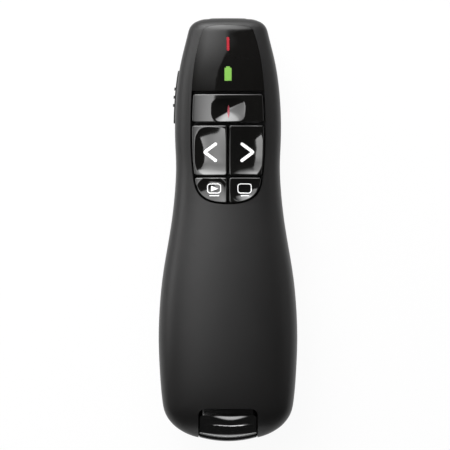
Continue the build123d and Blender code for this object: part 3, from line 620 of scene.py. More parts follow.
def rim_of(name):
    """The rim of a solid's top seen from above, as evenly spaced points in mm that turn left."""
    solid = bmesh.new()
    solid.from_mesh(nodes[name].data)
    bmesh.ops.remove_doubles(solid, verts=solid.verts, dist=1e-7)
    rim = set()
    for edge in solid.edges:
        tilts = sorted(face.normal.z for face in edge.link_faces)
        high = min(v.co.z for v in edge.verts) > RIMS_ABOVE * MM
        if high and len(tilts) == 2 and abs(tilts[0]) < UPRIGHT and tilts[1] > TOP:
            rim.add(edge)
    # A straight edge has many points equally far right, so y and z decide between them.
    start = at = max((v for edge in rim for v in edge.verts), key=lambda v: tuple(v.co))
    last, loop = None, []
    while at is not start or not loop:
        loop.append((at.co.x / MM, at.co.y / MM))
        last = next(e for e in at.link_edges if e in rim and e is not last)
        at = last.other_vert(at)
    solid.free()
    points = evenly(np.array(loop + loop[:1]), RIM_POINTS, closed=True)
    x, y = points.T
    if (x * np.roll(y, -1) - np.roll(x, -1) * y).sum() < 0:
        points = points[::-1]
    for _ in range(SOFTENINGS):
        points = (np.roll(points, 1, 0) + 2 * points + np.roll(points, -1, 0)) / 4
    return points


key_outlines = {key: rim_of(key + "_key") for key in KEYS}
for key, outline in key_outlines.items():
    print(key, "key spans", np.round(outline.min(0), 2), "to", np.round(outline.max(0), 2), "mm")

# %% [markdown]
# ## Nets of rings
#
# A key starts as a flat net of rings: the outermost follows the outline, a few close ones make
# room for the rounded rim, and the rest shrink towards the middle. Every point keeps how far in
# from the rim it is and how high the face is there. The tree needs only these two numbers, and a
# third that tells top from underside, to give the net its form.

# %% Lay the nets
KEY_UNDERSIDE = 18.75                   # height in mm
RIM_RINGS, WIDE_RINGS = 7, 26
PAST_RIM = 1.001                        # the wide rings count as just past the rim


def leftward(line, closed):
    """Unit steps to the left of a line at each of its points."""
    if closed:
        ahead = np.roll(line, -1, 0) - np.roll(line, 1, 0)
    else:
        ahead = np.gradient(line, axis=0)
    ahead /= np.linalg.norm(ahead, axis=1, keepdims=True)
    return np.stack([-ahead[:, 1], ahead[:, 0]], axis=1)


def between_rings(levels, count):
    """Faces between rings of points that follow one another."""
    faces = []
    for ring in range(levels - 1):
        for k in range(count):
            a, b = ring * count + k, ring * count + (k + 1) % count
            faces.append((a, b, b + count, a + count))
    return faces


def ring_net(name, rings, depths):
    """Closed plate from a stack of rings, with how far in each is and the face's height there."""
    levels, count = len(rings), len(rings[0])
    top = np.vstack([*rings, rings[-1].mean(0)])
    bottom = np.vstack([rings[0], rings[0].mean(0)])
    below = np.zeros(len(bottom))
    verts = np.vstack([np.column_stack([top, np.zeros(len(top))]),
                       np.column_stack([bottom, below + KEY_UNDERSIDE])]) * MM
    faces = between_rings(levels, count)
    last, centre, base = (levels - 1) * count, levels * count, len(top)
    for k in range(count):
        nxt = (k + 1) % count
        faces += [(last + k, last + nxt, centre), (base + k, base + nxt, nxt, k),
                  (base + nxt, base + k, base + count)]
    mesh = bpy.data.meshes.new(name)
    mesh.from_pydata(verts.tolist(), [], faces)
    inset = np.concatenate([np.repeat(depths, count), [depths[-1]], below])
    rest = np.concatenate([face_height(*top.T), below])
    upper = np.concatenate([np.ones(len(top)), below])
    for key, data in (("inset", inset * MM), ("rest", rest * MM), ("upper", upper)):
        values = data.astype(np.float32)
        mesh.attributes.new(key, "FLOAT", "POINT").data.foreach_set("value", values)
    return mesh


def plate_net(name, outline, rim):
    """Net over an outline: close rings over the rounded rim, then wider ones to the middle."""
    turns = [math.pi / 2 * k / RIM_RINGS for k in range(RIM_RINGS + 1)]
    depths = [rim * (1 - math.cos(turn)) for turn in turns]
    rings = [outline + leftward(outline, closed=True) * depth for depth in depths]
    middle, edge = outline.mean(0), rings[-1]
    for k in range(1, WIDE_RINGS):
        rings.append(middle + (edge - middle) * (1 - k / WIDE_RINGS))
        depths.append(rim * PAST_RIM)
    return ring_net(name, rings, np.array(depths))


print("a net has", RIM_POINTS * (RIM_RINGS + WIDE_RINGS) + 1, "points on top")

# %% [markdown]
# ## The rule of a key top
#
# The tree lowers every point from the face: by the sink of the whole key, by the dish, and by the
# quarter circle of the rim. The dish is measured by a stretched radius, whose high power makes
# its outline a rounded rectangle, and a second power says how flat its middle is. A lean moves
# the deepest place to one side.

# %% Draw the tree that presses a key
press, wires = start_tree(
    "press_key", sink=0.0, rim=0.0, dish=0.0, centre=(0.0, 0.0, 0.0), half_size=(1.0, 1.0, 1.0),
    squareness=4.0, flatness=2.5, lean_across=0.0, lean_along=0.0)
spot = wires["sink"].node("GeometryNodeInputPosition")
rest, inset, upper = (
    spot.node("GeometryNodeInputNamedAttribute", {"data_type": "FLOAT"}, {"Name": key})
    for key in ("rest", "inset", "upper"))
away = spot.node("ShaderNodeVectorMath", {"operation": "SUBTRACT"}, {0: spot, 1: wires["centre"]})
sizes = {0: away, 1: wires["half_size"]}
u, v, _ = axes(away.node("ShaderNodeVectorMath", {"operation": "DIVIDE"}, sizes))
power, rim = wires["squareness"], wires["rim"]
radius = (abs(u) ** power + abs(v) ** power) ** (1 / power)
fade = (1 - radius ** wires["flatness"]).held()
drop = rim - (rim ** 2 - (rim - inset).math("MAXIMUM", 0.0) ** 2).math("SQRT")
lean = 1 + wires["lean_across"] * u + wires["lean_along"] * v
height = rest - wires["sink"] - wires["dish"] * fade * lean - drop
x, y, z = axes(spot)
raised = {0: x, 1: y, 2: height * upper + z * (1 - upper)}
lifted = height.node("ShaderNodeCombineXYZ", {}, raised)
placed = {"Geometry": wires["Geometry"], "Position": lifted}
end_tree(press, lifted.node("GeometryNodeSetPosition", {}, placed), wires["material"])

# %% [markdown]
# ## The five key tops
#
# Each key has a dish of its own, so that a thumb tells the keys apart without looking. The same
# rule is kept in Python as well, because the signs have to know the height of the dished key.

# %% Press the key tops
KEY_SINK, KEY_RIM = 0.25, 0.34          # in mm
DISHES = {                              # centre, half size, depth in mm, two powers, leans
    "laser": ((0.36, 32.35), (4.50, 3.27), 1.05, (3.6, 1.6), (-0.36, 0.28)),
    "back": ((-3.92, 21.29), (5.19, 6.72), 0.65, (3.54, 2.76), (-0.39, -0.47)),
    "next": ((3.86, 21.54), (5.87, 8.09), 1.24, (2.66, 1.6), (0.29, -0.22)),
    "slideshow": ((-4.41, 9.60), (4.65, 4.88), 0.50, (2.10, 2.68), (0.44, 0.80)),
    "blank_screen": ((4.42, 11.43), (4.02, 4.07), 0.77, (2.52, 1.58), (-0.05, -0.80)),
}


def key_height(key, x, y):
    """Height of a key's top in mm, by the same rule as the tree."""
    (cx, cy), (a, b), depth, (squareness, flatness), leans = DISHES[key]
    u, v = (np.asarray(x, float) - cx) / a, (np.asarray(y, float) - cy) / b
    radius = (abs(u) ** squareness + abs(v) ** squareness) ** (1 / squareness)
    fade = np.clip(1 - radius ** flatness, 0, 1)
    return face_height(x, y) - KEY_SINK - depth * fade * (1 + leans[0] * u + leans[1] * v)


for key, ((cx, cy), (a, b), depth, powers, leans) in DISHES.items():
    grow(key + "_key_top", press, key + "_button", "key_gloss_black",
         plate_net(key + "_net", key_outlines[key], KEY_RIM), replaced=key + "_key",
         sink=KEY_SINK * MM, rim=KEY_RIM * MM, dish=depth * MM, centre=(cx * MM, cy * MM, 0.0),
         half_size=(a * MM, b * MM, 1.0), squareness=powers[0], flatness=powers[1],
         lean_across=leans[0], lean_along=leans[1])

# %% [markdown]
# ## Key stems
#
# Under each plate a round stem runs down through its guide hole and ends in a wider foot, which
# the deck holds down. A stem is a stack of circles, from the foot up, and a small step at each
# end of the foot softens its edge.

# %% Turn the stems
STEMS = {"laser": (0, 32.85), "back": (-5.2, 21.45), "next": (5.2, 21.45),
         "slideshow": (-4.8, 10.95), "blank_screen": (4.8, 10.95)}
FOOT_RADIUS, STEM_RADIUS, STEM_SIDES = 2.4, 1.6, 48
FOOT_LOW, FOOT_HIGH, SOFT_EDGE = 16.0, 16.6, 0.1
INTO_PLATE = 0.3


def closed_mesh(name, verts, faces):
    """A mesh in mm whose faces are turned outward."""
    mesh = bpy.data.meshes.new(name)
    mesh.from_pydata((verts * MM).tolist(), [], faces)
    made = bmesh.new()
    made.from_mesh(mesh)
    bmesh.ops.recalc_face_normals(made, faces=made.faces)
    made.to_mesh(mesh)
    made.free()
    return mesh


def stack_mesh(name, outlines, heights):
    """Closed solid from outlines in mm, from the lowest to the highest."""
    levels, count = len(outlines), len(outlines[0])
    last = (levels - 1) * count
    caps = [tuple(range(count))[::-1], tuple(range(last, last + count))]
    verts = np.column_stack([np.vstack(outlines), np.repeat(heights, count)])
    return closed_mesh(name, verts, between_rings(levels, count) + caps)


turns = np.linspace(0, 2 * math.pi, STEM_SIDES, endpoint=False)
circle = np.column_stack([np.cos(turns), np.sin(turns)])
profile = [(FOOT_RADIUS - SOFT_EDGE, FOOT_LOW), (FOOT_RADIUS, FOOT_LOW + SOFT_EDGE),
           (FOOT_RADIUS, FOOT_HIGH - SOFT_EDGE), (FOOT_RADIUS - SOFT_EDGE, FOOT_HIGH),
           (STEM_RADIUS + SOFT_EDGE / 2, FOOT_HIGH), (STEM_RADIUS, FOOT_HIGH + SOFT_EDGE),
           (STEM_RADIUS, KEY_UNDERSIDE + INTO_PLATE)]
for key, centre in STEMS.items():
    outlines = [centre + radius * circle for radius, _ in profile]
    mesh = stack_mesh("stem", outlines, [height for _, height in profile])
    keep_mesh(key + "_key_stem", mesh, key + "_button", "plunger_black")
    mesh.polygons[-1].use_smooth = mesh.polygons[-2].use_smooth = False

# %% [markdown]
# ## Ink on the keys
#
# The signs are printed lines. Each is a ribbon of even width that follows a centre line and hugs
# the dished key, so that it stays readable from any side. A ribbon has a thickness of a few
# hundredths of a millimetre and sits a little into the key, as ink that has been pressed on.

# %% Print ribbons on a surface
INK_ABOVE, INK_BELOW, INK_LANES = 0.035, 0.06, 4


def ribbon_mesh(name, line, widths, surface, closed):
    """Closed thin slab along a line in mm, with a half width at each point."""
    shares = np.linspace(-1, 1, INK_LANES + 1)[:, None]
    places = line[:, None] + leftward(line, closed)[:, None] * (shares * widths[:, None, None])
    flat = places.reshape(-1, 2)
    z = surface(*flat.T)
    verts = np.vstack([np.column_stack([flat, z + INK_ABOVE]),
                       np.column_stack([flat, z - INK_BELOW])])
    row, count, base = INK_LANES + 1, len(line), len(flat)
    faces = []
    for i in range(count if closed else count - 1):
        near, far = i * row, (i + 1) % count * row
        for k in range(INK_LANES):
            top = (near + k, far + k, far + k + 1, near + k + 1)
            faces += [top[::-1], tuple(base + corner for corner in top)]
        left, right = (near, far), (near + INK_LANES, far + INK_LANES)
        faces.append((*left, base + left[1], base + left[0])[::-1])
        faces.append((*right, base + right[1], base + right[0]))
    if not closed:
        for end, turned in ((0, -1), ((count - 1) * row, 1)):
            for k in range(INK_LANES):
                faces.append((end + k, end + k + 1, base + end + k + 1, base + end + k)[::turned])
    return closed_mesh(name, verts, faces)


def print_sign(name, key, line, widths, ink, closed=False):
    """A ribbon of ink that moves with its key."""
    mesh = ribbon_mesh(name, line, widths, partial(key_height, key), closed)
    keep_mesh(name, mesh, key + "_button", ink, smooth=False)


print("ink is", INK_ABOVE, "mm proud")

# %% [markdown]
# ## Arrows
#
# Back and next carry an arrowhead each: one bent line with a rounded corner and round ends. A
# round end is a few more points, at which the width follows a quarter circle.

# %% Arrows
ARROW_HALF, ARROW_BEND = 0.42, 0.3
ARROW_ROWS = (23.2, 20.97, 18.72)       # places along the clicker of one end, tip and other end
BEND_POINTS, END_POINTS, THINNEST = 9, 6, 0.02


def stroke(points, bend):
    """Evenly spaced points along a line whose corners are rounded."""
    points = [np.array(p, float) for p in points]
    line = [points[0]]
    for before, corner, after in zip(points, points[1:], points[2:]):
        a = corner + (before - corner) / np.linalg.norm(before - corner) * bend
        b = corner + (after - corner) / np.linalg.norm(after - corner) * bend
        for t in np.linspace(0, 1, BEND_POINTS):
            line.append((1 - t) ** 2 * a + 2 * t * (1 - t) * corner + t ** 2 * b)
    return evenly(np.array([*line, points[-1]]))


def round_ends(line, half):
    """The line made longer by round ends, with its half widths."""
    turns = np.linspace(0, math.pi / 2, END_POINTS + 1)[:-1]
    first, last = line[0] - line[1], line[-1] - line[-2]
    first, last = first / np.linalg.norm(first), last / np.linalg.norm(last)
    head = [line[0] + first * half * math.cos(t) for t in turns]
    foot = [line[-1] + last * half * math.cos(t) for t in turns[::-1]]
    ends = [max(THINNEST, half * math.sin(t)) for t in turns]
    return (np.vstack([head, line, foot]),
            np.concatenate([ends, np.full(len(line), half), ends[::-1]]))


for key, tip, end in (("back", -6.40, -3.38), ("next", 6.82, 3.80)):
    line = stroke(zip((end, tip, end), ARROW_ROWS), ARROW_BEND)
    print_sign(key + "_arrow", key, *round_ends(line, ARROW_HALF), "legend_white")

# %% [markdown]
# ## Screens
#
# The two small keys show a screen as a closed rounded frame, with a short line beneath it.

# %% Screens and their underlines
SCREEN_ROW, SCREEN_HALF, SCREEN_CORNER = 11.08, 0.125, 0.75
UNDERLINE_ROW, UNDERLINE_HALF, UNDERLINE_POINTS = 9.12, 0.135, 20


def rounded_outline(centre, size, corner, inset=0, steps=8):
    """Points round a rectangle with rounded corners, whose radius may be drawn in."""
    (cx, cy), (w, h) = centre, (size[0] / 2 - corner, size[1] / 2 - corner)
    radius = corner - inset
    points = []
    for quarter, (sx, sy) in enumerate(((1, 1), (-1, 1), (-1, -1), (1, -1))):
        for t in np.linspace(0, math.pi / 2, steps) + quarter * math.pi / 2:
            points.append((cx + sx * w + radius * math.cos(t), cy + sy * h + radius * math.sin(t)))
    return np.array(points)


for key, middle, size, bar in (("slideshow", -3.79, (3.54, 2.48), (-4.92, -2.54)),
                               ("blank_screen", 4.50, (3.66, 2.48), (3.54, 5.60))):
    line = rounded_outline((middle, SCREEN_ROW), size, SCREEN_CORNER)
    widths = np.full(len(line), SCREEN_HALF)
    print_sign(key + "_screen", key, line, widths, "legend_white", closed=True)
    line = np.linspace((bar[0], UNDERLINE_ROW), (bar[1], UNDERLINE_ROW), UNDERLINE_POINTS)
    print_sign(key + "_underline", key, *round_ends(line, UNDERLINE_HALF), "legend_white")

# %% [markdown]
# ## Play sign and laser mark
#
# Both are ribbons whose width changes along the line: it shrinks evenly to a point for the play
# sign, and swells and shrinks again for the laser mark.

# %% Play sign and laser mark
PLAY_FROM, PLAY_TO, PLAY_WIDTHS, PLAY_POINTS = (-4.6, 11.05), (-2.65, 11.05), (0.74, 0.03), 16
MARK_FROM, MARK_TO, MARK_HALF, MARK_POINTS = (0.13, 33.8), (0.13, 30.3), 0.30, 28
MARK_TIP, MARK_POWER = 0.04, 0.8        # how far from its ends the swell starts, how full it is

line = np.linspace(PLAY_FROM, PLAY_TO, PLAY_POINTS)
print_sign("play_sign", "slideshow", line, np.linspace(*PLAY_WIDTHS, PLAY_POINTS), "legend_white")
line = np.linspace(MARK_FROM, MARK_TO, MARK_POINTS)
swell = np.sin(np.linspace(MARK_TIP, math.pi - MARK_TIP, MARK_POINTS)) ** MARK_POWER
print_sign("laser_sign", "laser", line, MARK_HALF * swell, "mark_red")

# %% [markdown]
# ## The receiver's grip
#
# The raised end of the receiver falls away towards the tail, ever more steeply, and ends in a
# lip that runs parallel to the end. Below the lip a narrow ledge is left. A long finger dish lies
# across it: shallow on its upper side, abrupt on its lower side. All of this is one height rule
# over a net whose rows follow the curved end, so that lip and ledge stay crisp.

# %% Height of the grip
GRIP_HALF, GRIP_FRONT, GRIP_CORNER, GRIP_EDGE = 7.85, -50.4, 1.2, 0.3
TAIL_END, TAIL_BOW = -57.72, 1.15       # the end's place in the middle, its bow at the sides
DOME_FROM, DOME_TOP, DOME_FALL, DOME_BEND = -51.05, 24.95, 0.42, 0.030
DOME_BOW, DOME_CROWN, CROWN_HALF = 0.35, 0.2, 7
LIP_WIDTH, LIP_SAG, LIP_REACH, LIP_NARROWING = 1.05, 0.13, 1.2, 0.75
DISH_SPOT, DISH_SIZE, DISH_DEPTH = (0.6, -51.95), (6.5, 1.4), 0.55
DISH_SQUARENESS, DISH_FLATNESS, DISH_LEAN = 4, 2.2, 0.5
WAVE_HEIGHT, WAVE_TURN, WAVE_CREST = 0.12, 0.65, 0.75   # of the dish's middle line


def grip_end(x):
    """Where the receiver ends, along the clicker."""
    return TAIL_END + TAIL_BOW * (x / GRIP_HALF) ** 2


def quarter_drop(distance, radius):
    """How far a quarter circle has dropped at a distance from the edge."""
    left_over = np.clip(radius - distance, 0, radius)
    return radius - np.sqrt(radius ** 2 - left_over ** 2)


def grip_height(x, y):
    """Height of the grip's top in mm, in front of its lip."""
    share = (x / GRIP_HALF) ** 2
    run = DOME_FROM - y + DOME_BOW * share
    dome = DOME_TOP - DOME_FALL * run - DOME_BEND * run ** 2 - DOME_CROWN * (x / CROWN_HALF) ** 2
    reach = LIP_REACH - LIP_NARROWING * share
    to_lip = np.clip(1 - (y - grip_end(x) - LIP_WIDTH) / reach, 0, 1)
    middle = DISH_SPOT[1] - WAVE_HEIGHT * np.cos(WAVE_TURN * (x - WAVE_CREST))
    u, v = (x - DISH_SPOT[0]) / DISH_SIZE[0], (y - middle) / DISH_SIZE[1]
    radius = (abs(u) ** DISH_SQUARENESS + abs(v) ** DISH_SQUARENESS) ** (1 / DISH_SQUARENESS)
    dish = DISH_DEPTH * np.clip(1 - radius ** DISH_FLATNESS, 0, 1) * (1 - DISH_LEAN * v)
    return dome - LIP_SAG * to_lip ** 2 - dish - quarter_drop(GRIP_HALF - abs(x), GRIP_EDGE)


drop = float(grip_height(0, GRIP_FRONT) - grip_height(0, TAIL_END + LIP_WIDTH))
print("the grip falls by", round(drop, 2), "mm from its front to its lip")

# %% [markdown]
# ## Grip and end
#
# The grip's net follows that height, and goes round the rim down to the seam. The end below it
# follows the same outline, so the two halves meet all along.

# %% Nets of the grip and of the end below it
RECEIVER_MIDDLE, SHARP_FROM = 17.85, math.radians(35)
LEDGE_DROP, LEDGE_SLOPE, LEDGE_EDGE = 0.45, 0.12, 0.6
UNDER_FRONT, UNDER_HEIGHT, UNDER_RISE = -52.2, 13.85, 3.6
UNDER_EDGES = (1.8, 1.0)                # rounding at the end and at the sides, in mm
GRIP_COLUMNS, GRIP_ROWS, LEDGE_ROWS = 150, 120, 10
END_COLUMNS, END_ROWS = 90, 50


def block_mesh(name, sheets):
    """Closed block from rows of points down, or up, to the receiver's middle height."""
    columns = len(sheets[0][0])
    verts = np.concatenate([np.stack(sheet, axis=1) for sheet in sheets])
    faces = []
    for row in range(len(sheets) - 1):
        for k in range(columns - 1):
            a = row * columns + k
            faces.append((a, a + 1, a + 1 + columns, a + columns))
    last = (len(sheets) - 1) * columns
    border = list(range(columns)) + [row * columns + columns - 1 for row in range(1, len(sheets))]
    border += [last + k for k in range(columns - 2, -1, -1)]
    border += [row * columns for row in range(len(sheets) - 2, 0, -1)]
    first = len(verts)
    flat = np.column_stack([verts[border][:, :2], np.full(len(border), RECEIVER_MIDDLE)])
    for k in range(len(border)):
        nxt = (k + 1) % len(border)
        faces.append((border[nxt], border[k], first + k, first + nxt))
    faces.append(tuple(first + k for k in range(len(border)))[::-1])
    return closed_mesh(name, np.vstack([verts, flat]), faces)


def columns_across(count):
    """Places across the grip, closer together towards its sides."""
    return GRIP_HALF * np.sin(np.linspace(-math.pi / 2, math.pi / 2, count))


def rows_along(start, end, count):
    """Places from one line to another, closer together near the first."""
    for share in 1 - np.cos(np.linspace(0, math.pi / 2, count)):
        yield start + (end - start) * share


def grip_sheets():
    """Rows over the grip: up the ledge, then from the lip to the front."""
    x = columns_across(GRIP_COLUMNS)
    end, lip = grip_end(x), grip_end(x) + LIP_WIDTH
    past = np.clip(abs(x) - (GRIP_HALF - GRIP_CORNER), 0, GRIP_CORNER)
    front = GRIP_FRONT - (GRIP_CORNER - np.sqrt(GRIP_CORNER ** 2 - past ** 2))
    sheets = []
    for share in np.linspace(0, 1, LEDGE_ROWS):
        y = end + (lip - end) * share
        low = grip_height(x, lip) - LEDGE_DROP - LEDGE_SLOPE * (lip - y)
        low = low - quarter_drop(y - end, LEDGE_EDGE)
        sheets.append((x, y, low - quarter_drop(GRIP_HALF - abs(x), GRIP_EDGE)))
    return sheets + [(x, y, grip_height(x, y)) for y in rows_along(lip, front, GRIP_ROWS)]


def end_sheets():
    """Rows over the end's underside, from the end forwards."""
    x = columns_across(END_COLUMNS)
    sheets = []
    for y in rows_along(grip_end(x), UNDER_FRONT, END_ROWS):
        rise = quarter_drop(y - grip_end(x), UNDER_EDGES[0])
        rise = rise + quarter_drop(GRIP_HALF - abs(x), UNDER_EDGES[1])
        sheets.append((x, y, UNDER_HEIGHT + np.minimum(rise, UNDER_RISE)))
    return sheets


def receiver_piece(name, mesh, half):
    """A piece that stands in for the receiver's upper or lower half, with crisp edges."""
    keep_mesh(name, mesh, "receiver", "receiver_gloss_black", "receiver_" + half)
    mesh.set_sharp_from_angle(angle=SHARP_FROM)


receiver_piece("receiver_grip", block_mesh("grip", grip_sheets()), "upper")
receiver_piece("receiver_end", block_mesh("end", end_sheets()), "lower")

# %% [markdown]
# ## The receiver's shell
#
# In front of the grip the receiver is a hollow shell of two halves with rounded shoulders,
# closed in front by walls around the plug. Each is an arch: an outer and an inner outline with
# the same number of points, drawn out along the receiver. The lower half is the upper one turned
# over.

# %% Draw out arches
WALL_FROM, WALL_TO = -10.75, -8.95      # places along the clicker; the shell ends at the wall


def shoulder_line(half, rise, corner, steps=10):
    """From the left foot over two rounded shoulders to the right foot, from the middle height."""
    turns = np.linspace(0, math.pi / 2, steps)
    left = [(-half, 0.0)]
    for t in turns:
        left.append((-half + corner - corner * math.cos(t), rise - corner + corner * math.sin(t)))
    return np.array(left + [(-x, z) for x, z in left[::-1]])


def arch(name, outer, inner, reach, side):
    """Closed mesh between an outer and an inner line, above (1) or below (-1) the middle."""
    count = len(outer)
    rings = [np.column_stack([x, np.full(count, y), RECEIVER_MIDDLE + side * z])
             for y in reach for x, z in (outer.T, inner.T)]
    a, b, c, d = (ring * count for ring in range(4))
    faces = [(a, c, d, b), (b + count - 1, d + count - 1, c + count - 1, a + count - 1)]
    for k in range(count - 1):
        faces += [(a + k, a + k + 1, c + k + 1, c + k), (b + k + 1, b + k, d + k, d + k + 1),
                  (b + k, b + k + 1, a + k + 1, a + k), (c + k, c + k + 1, d + k + 1, d + k)]
    return closed_mesh(name, np.vstack(rings), faces)


outer = shoulder_line(GRIP_HALF, rise=4.0, corner=1.2)
ARCHES = {
    "shell": (shoulder_line(6.95, rise=3.1, corner=0.75), (UNDER_FRONT, WALL_FROM)),
    "wall": (shoulder_line(6.1, rise=2.35, corner=0.1), (WALL_FROM, WALL_TO)),
}
for half, side in (("upper", 1), ("lower", -1)):
    for part, (inner, reach) in ARCHES.items():
        mesh = arch(part, outer, inner, reach, side)
        receiver_piece(f"receiver_{half}_{part}", mesh, half)

# %% [markdown]
# ## Coil springs
#
# A cell's flat end rests on a coil that narrows towards the cell. The spiral and its wire are one
# tree, whose inputs give the number of turns, both radii, the height and the wire. It stands
# upright in the tree and is then laid along the cell.

# %% Wind the springs
COIL_TURNS, COIL_WIDE, COIL_NARROW, COIL_WIRE = 3.5, 2.7, 1.7, 0.25     # radii in mm
COIL_STEPS, WIRE_SIDES = 56, 12         # steps to a turn, sides of the wire
coil, wires = start_tree(
    "coil_spring", turns=1.0, wide=0.0, narrow=0.0, height=0.0, wire=0.0, foot=(0.0, 0.0, 0.0),
    turned=(0.0, 0.0, 0.0))
spiral = wires["turns"].node("GeometryNodeCurveSpiral", {}, {
    "Resolution": COIL_STEPS, "Rotations": wires["turns"], "Start Radius": wires["wide"],
    "End Radius": wires["narrow"], "Height": wires["height"]})
section = spiral.node("GeometryNodeCurvePrimitiveCircle", {}, {
    "Resolution": WIRE_SIDES, "Radius": wires["wire"]})
wound = spiral.node("GeometryNodeCurveToMesh", {}, {
    "Curve": spiral, "Profile Curve": section, "Fill Caps": True})
laid = wound.node("GeometryNodeTransform", {}, {
    "Geometry": wound, "Translation": wires["foot"], "Rotation": wires["turned"]})
end_tree(coil, laid, wires["material"])

for name, side in (("contact_spring_1", -1), ("contact_spring_2", 1)):
    low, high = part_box(name)
    middle, wire = (low + high) / 2, COIL_WIRE * MM
    foot = low.y + wire if side < 0 else high.y - wire
    grow(name + "_coil", coil, "case", "contact_steel", replaced=name, turns=COIL_TURNS,
         wide=COIL_WIDE * MM, narrow=COIL_NARROW * MM, wire=wire,
         height=high.y - low.y - 2 * wire, foot=(middle.x, foot, middle.z),
         turned=(side * math.pi / 2, 0.0, 0.0))

# %% [markdown]
# ## Legs of a chip
#
# A chip stands on bent legs, a row on each side. One leg is drawn, and a tree sets it in a row
# by number and pitch and turns the row to all four sides.

# %% Draw one leg and the tree that repeats it
LEG_HALF, LEG_HALF_THICK = 0.11, 0.05   # of its width and of its thickness, in mm
LEG_STEPS = (0.75, 0.42, 0.28)          # its root and two bends, from its tip, in mm
SHOULDER_SHARE, TOE_SHARE = 0.5, 0.08   # heights as shares of the way from board to lid

legs, wires = start_tree("legs_around", count=1, pitch=0.0, middle=(0.0, 0.0, 0.0))
start = wires["pitch"] * (wires["count"] - 1) * -0.5
first = start.node("ShaderNodeCombineXYZ", {}, {0: start})
step = start.node("ShaderNodeCombineXYZ", {}, {0: wires["pitch"]})
line = first.node("GeometryNodeMeshLine", {"mode": "OFFSET"}, {
    "Count": wires["count"], "Start Location": first, "Offset": step})
row = line.node("GeometryNodeInstanceOnPoints", {}, {
    "Points": line, "Instance": wires["Geometry"]})
joined = row.node("GeometryNodeJoinGeometry")
for quarter in range(4):
    turned = (0.0, 0.0, quarter * math.pi / 2)
    side = row.node("GeometryNodeTransform", {}, {
        "Geometry": row, "Translation": wires["middle"], "Rotation": turned})
    legs.links.new(side.socket, joined.socket.node.inputs[0])
end_tree(legs, joined, wires["material"])


def leg_mesh(board, lid, reach):
    """One bent leg in mm: from the block's side out and down, or up, to the board."""
    rise = lid - board
    shoulder, toe = board + SHOULDER_SHARE * rise, board + TOE_SHARE * rise
    root, bend, ankle = (reach - step for step in LEG_STEPS)
    line = [(root, shoulder), (bend, shoulder), (ankle, toe), (reach, toe)]
    verts = [(x, y, z + dz) for y, z in line for x in (-LEG_HALF, LEG_HALF)
             for dz in (-LEG_HALF_THICK, LEG_HALF_THICK)]
    faces = [(0, 1, 3, 2), (12, 14, 15, 13)]
    for a in (0, 4, 8):
        b = a + 4
        faces += [(a, a + 2, b + 2, b), (a + 1, b + 1, b + 3, a + 3),
                  (a, b, b + 1, a + 1), (a + 2, a + 3, b + 3, b + 2)]
    return closed_mesh("leg", np.array(verts), faces)


# %% [markdown]
# ## Chips and diodes
#
# A chip is a moulded block with rounded corners and broken edges between its legs. A diode is
# a white block with a tinted window, and both of its parts are such blocks too.

# %% Moulded blocks
CHIP_LEGS, CHIP_PITCH = 7, 0.5
CHIP_LEG_ROOM, CHIP_LIFT = 1.2, 0.12    # what the legs take of its width, its gap to the board
WITHIN_BOX = 0.01                       # the legs' tips stay this far inside the solid
WINDOW_BORDER, WINDOW_SINK, WINDOW_RISE = 0.6, 0.3, 0.15


def moulded_block(name, body, finish, replaced, centre, size, heights, corner, edge):
    """Block with rounded corners and broken edges, in mm."""
    low, high = heights
    levels = [low, low + edge, high - edge, high]
    outlines = [rounded_outline(centre, size, corner, inset, steps=5)
                for inset in (edge, 0, 0, edge)]
    keep_mesh(name, stack_mesh(name, outlines, levels), body, finish, replaced, smooth=False)


for name, body, up in (("radio_chip", "case", -1), ("receiver_chip", "receiver", 1)):
    low, high = (np.array(corner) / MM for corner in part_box(name))
    board, lid = (low[2], high[2]) if up > 0 else (high[2], low[2])
    middle, reach = (low + high) / 2, (high[0] - low[0]) / 2
    width = 2 * reach - CHIP_LEG_ROOM
    heights = sorted((board + CHIP_LIFT * up, lid))
    moulded_block(name + "_block", body, "chip_black", name, middle[:2], (width, width),
                  heights, corner=0.12, edge=0.08)
    leg = leg_mesh(board, lid, reach - WITHIN_BOX)
    grow(name + "_legs", legs, body, "switch_steel", leg, name, smooth=False,
         count=CHIP_LEGS, pitch=CHIP_PITCH * MM, middle=(middle[0] * MM, middle[1] * MM, 0.0))

for colour in ("red", "green"):
    name = colour + "_led"
    low, high = (np.array(corner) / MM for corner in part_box(name))
    middle, size, top = ((low + high) / 2)[:2], (high - low)[:2], high[2]
    moulded_block(name + "_block", "case", "tongue_white", name, middle, size,
                  (low[2], top - WINDOW_RISE), corner=0.12, edge=0.06)
    moulded_block(name + "_window", "case", colour + "_diode", name, middle,
                  size - WINDOW_BORDER, (top - WINDOW_SINK, top), corner=0.25, edge=0.08)

# %% [markdown]
# ## Floor, light and background
#
# The clicker lies on a pale floor. Floor and background are plain white to whatever looks at them
# straight, by mirror or through glass, while the light that they give back to the object stays
# low. The floor keeps a small share of its own shading, and with it the clicker's shadow.

# %% Floor and world
FLOOR_REACH, FLOOR_GREY, FLOOR_WHITE_SHARE = 4, 0.8, 0.94
WORLD_LIGHT = 0.04
WHITE = (1, 1, 1, 1)


def bare_tree(owner):
    """The node tree of a material or a world, emptied."""
    owner.use_nodes = True
    owner.node_tree.nodes.clear()
    return Wire(owner.node_tree)


def show(shader, output="ShaderNodeOutputMaterial"):
    """Ends a tree in its output."""
    shader.tree.links.new(shader.socket, shader.tree.nodes.new(output).inputs[0])


def stage_mesh(name, corners, material):
    """One flat face of the studio."""
    mesh = bpy.data.meshes.new(name)
    mesh.from_pydata(corners, [], [tuple(range(len(corners)))])
    mesh.materials.append(material)
    made = bpy.data.objects.new(name, mesh)
    bpy.context.scene.collection.objects.link(made)
    return made


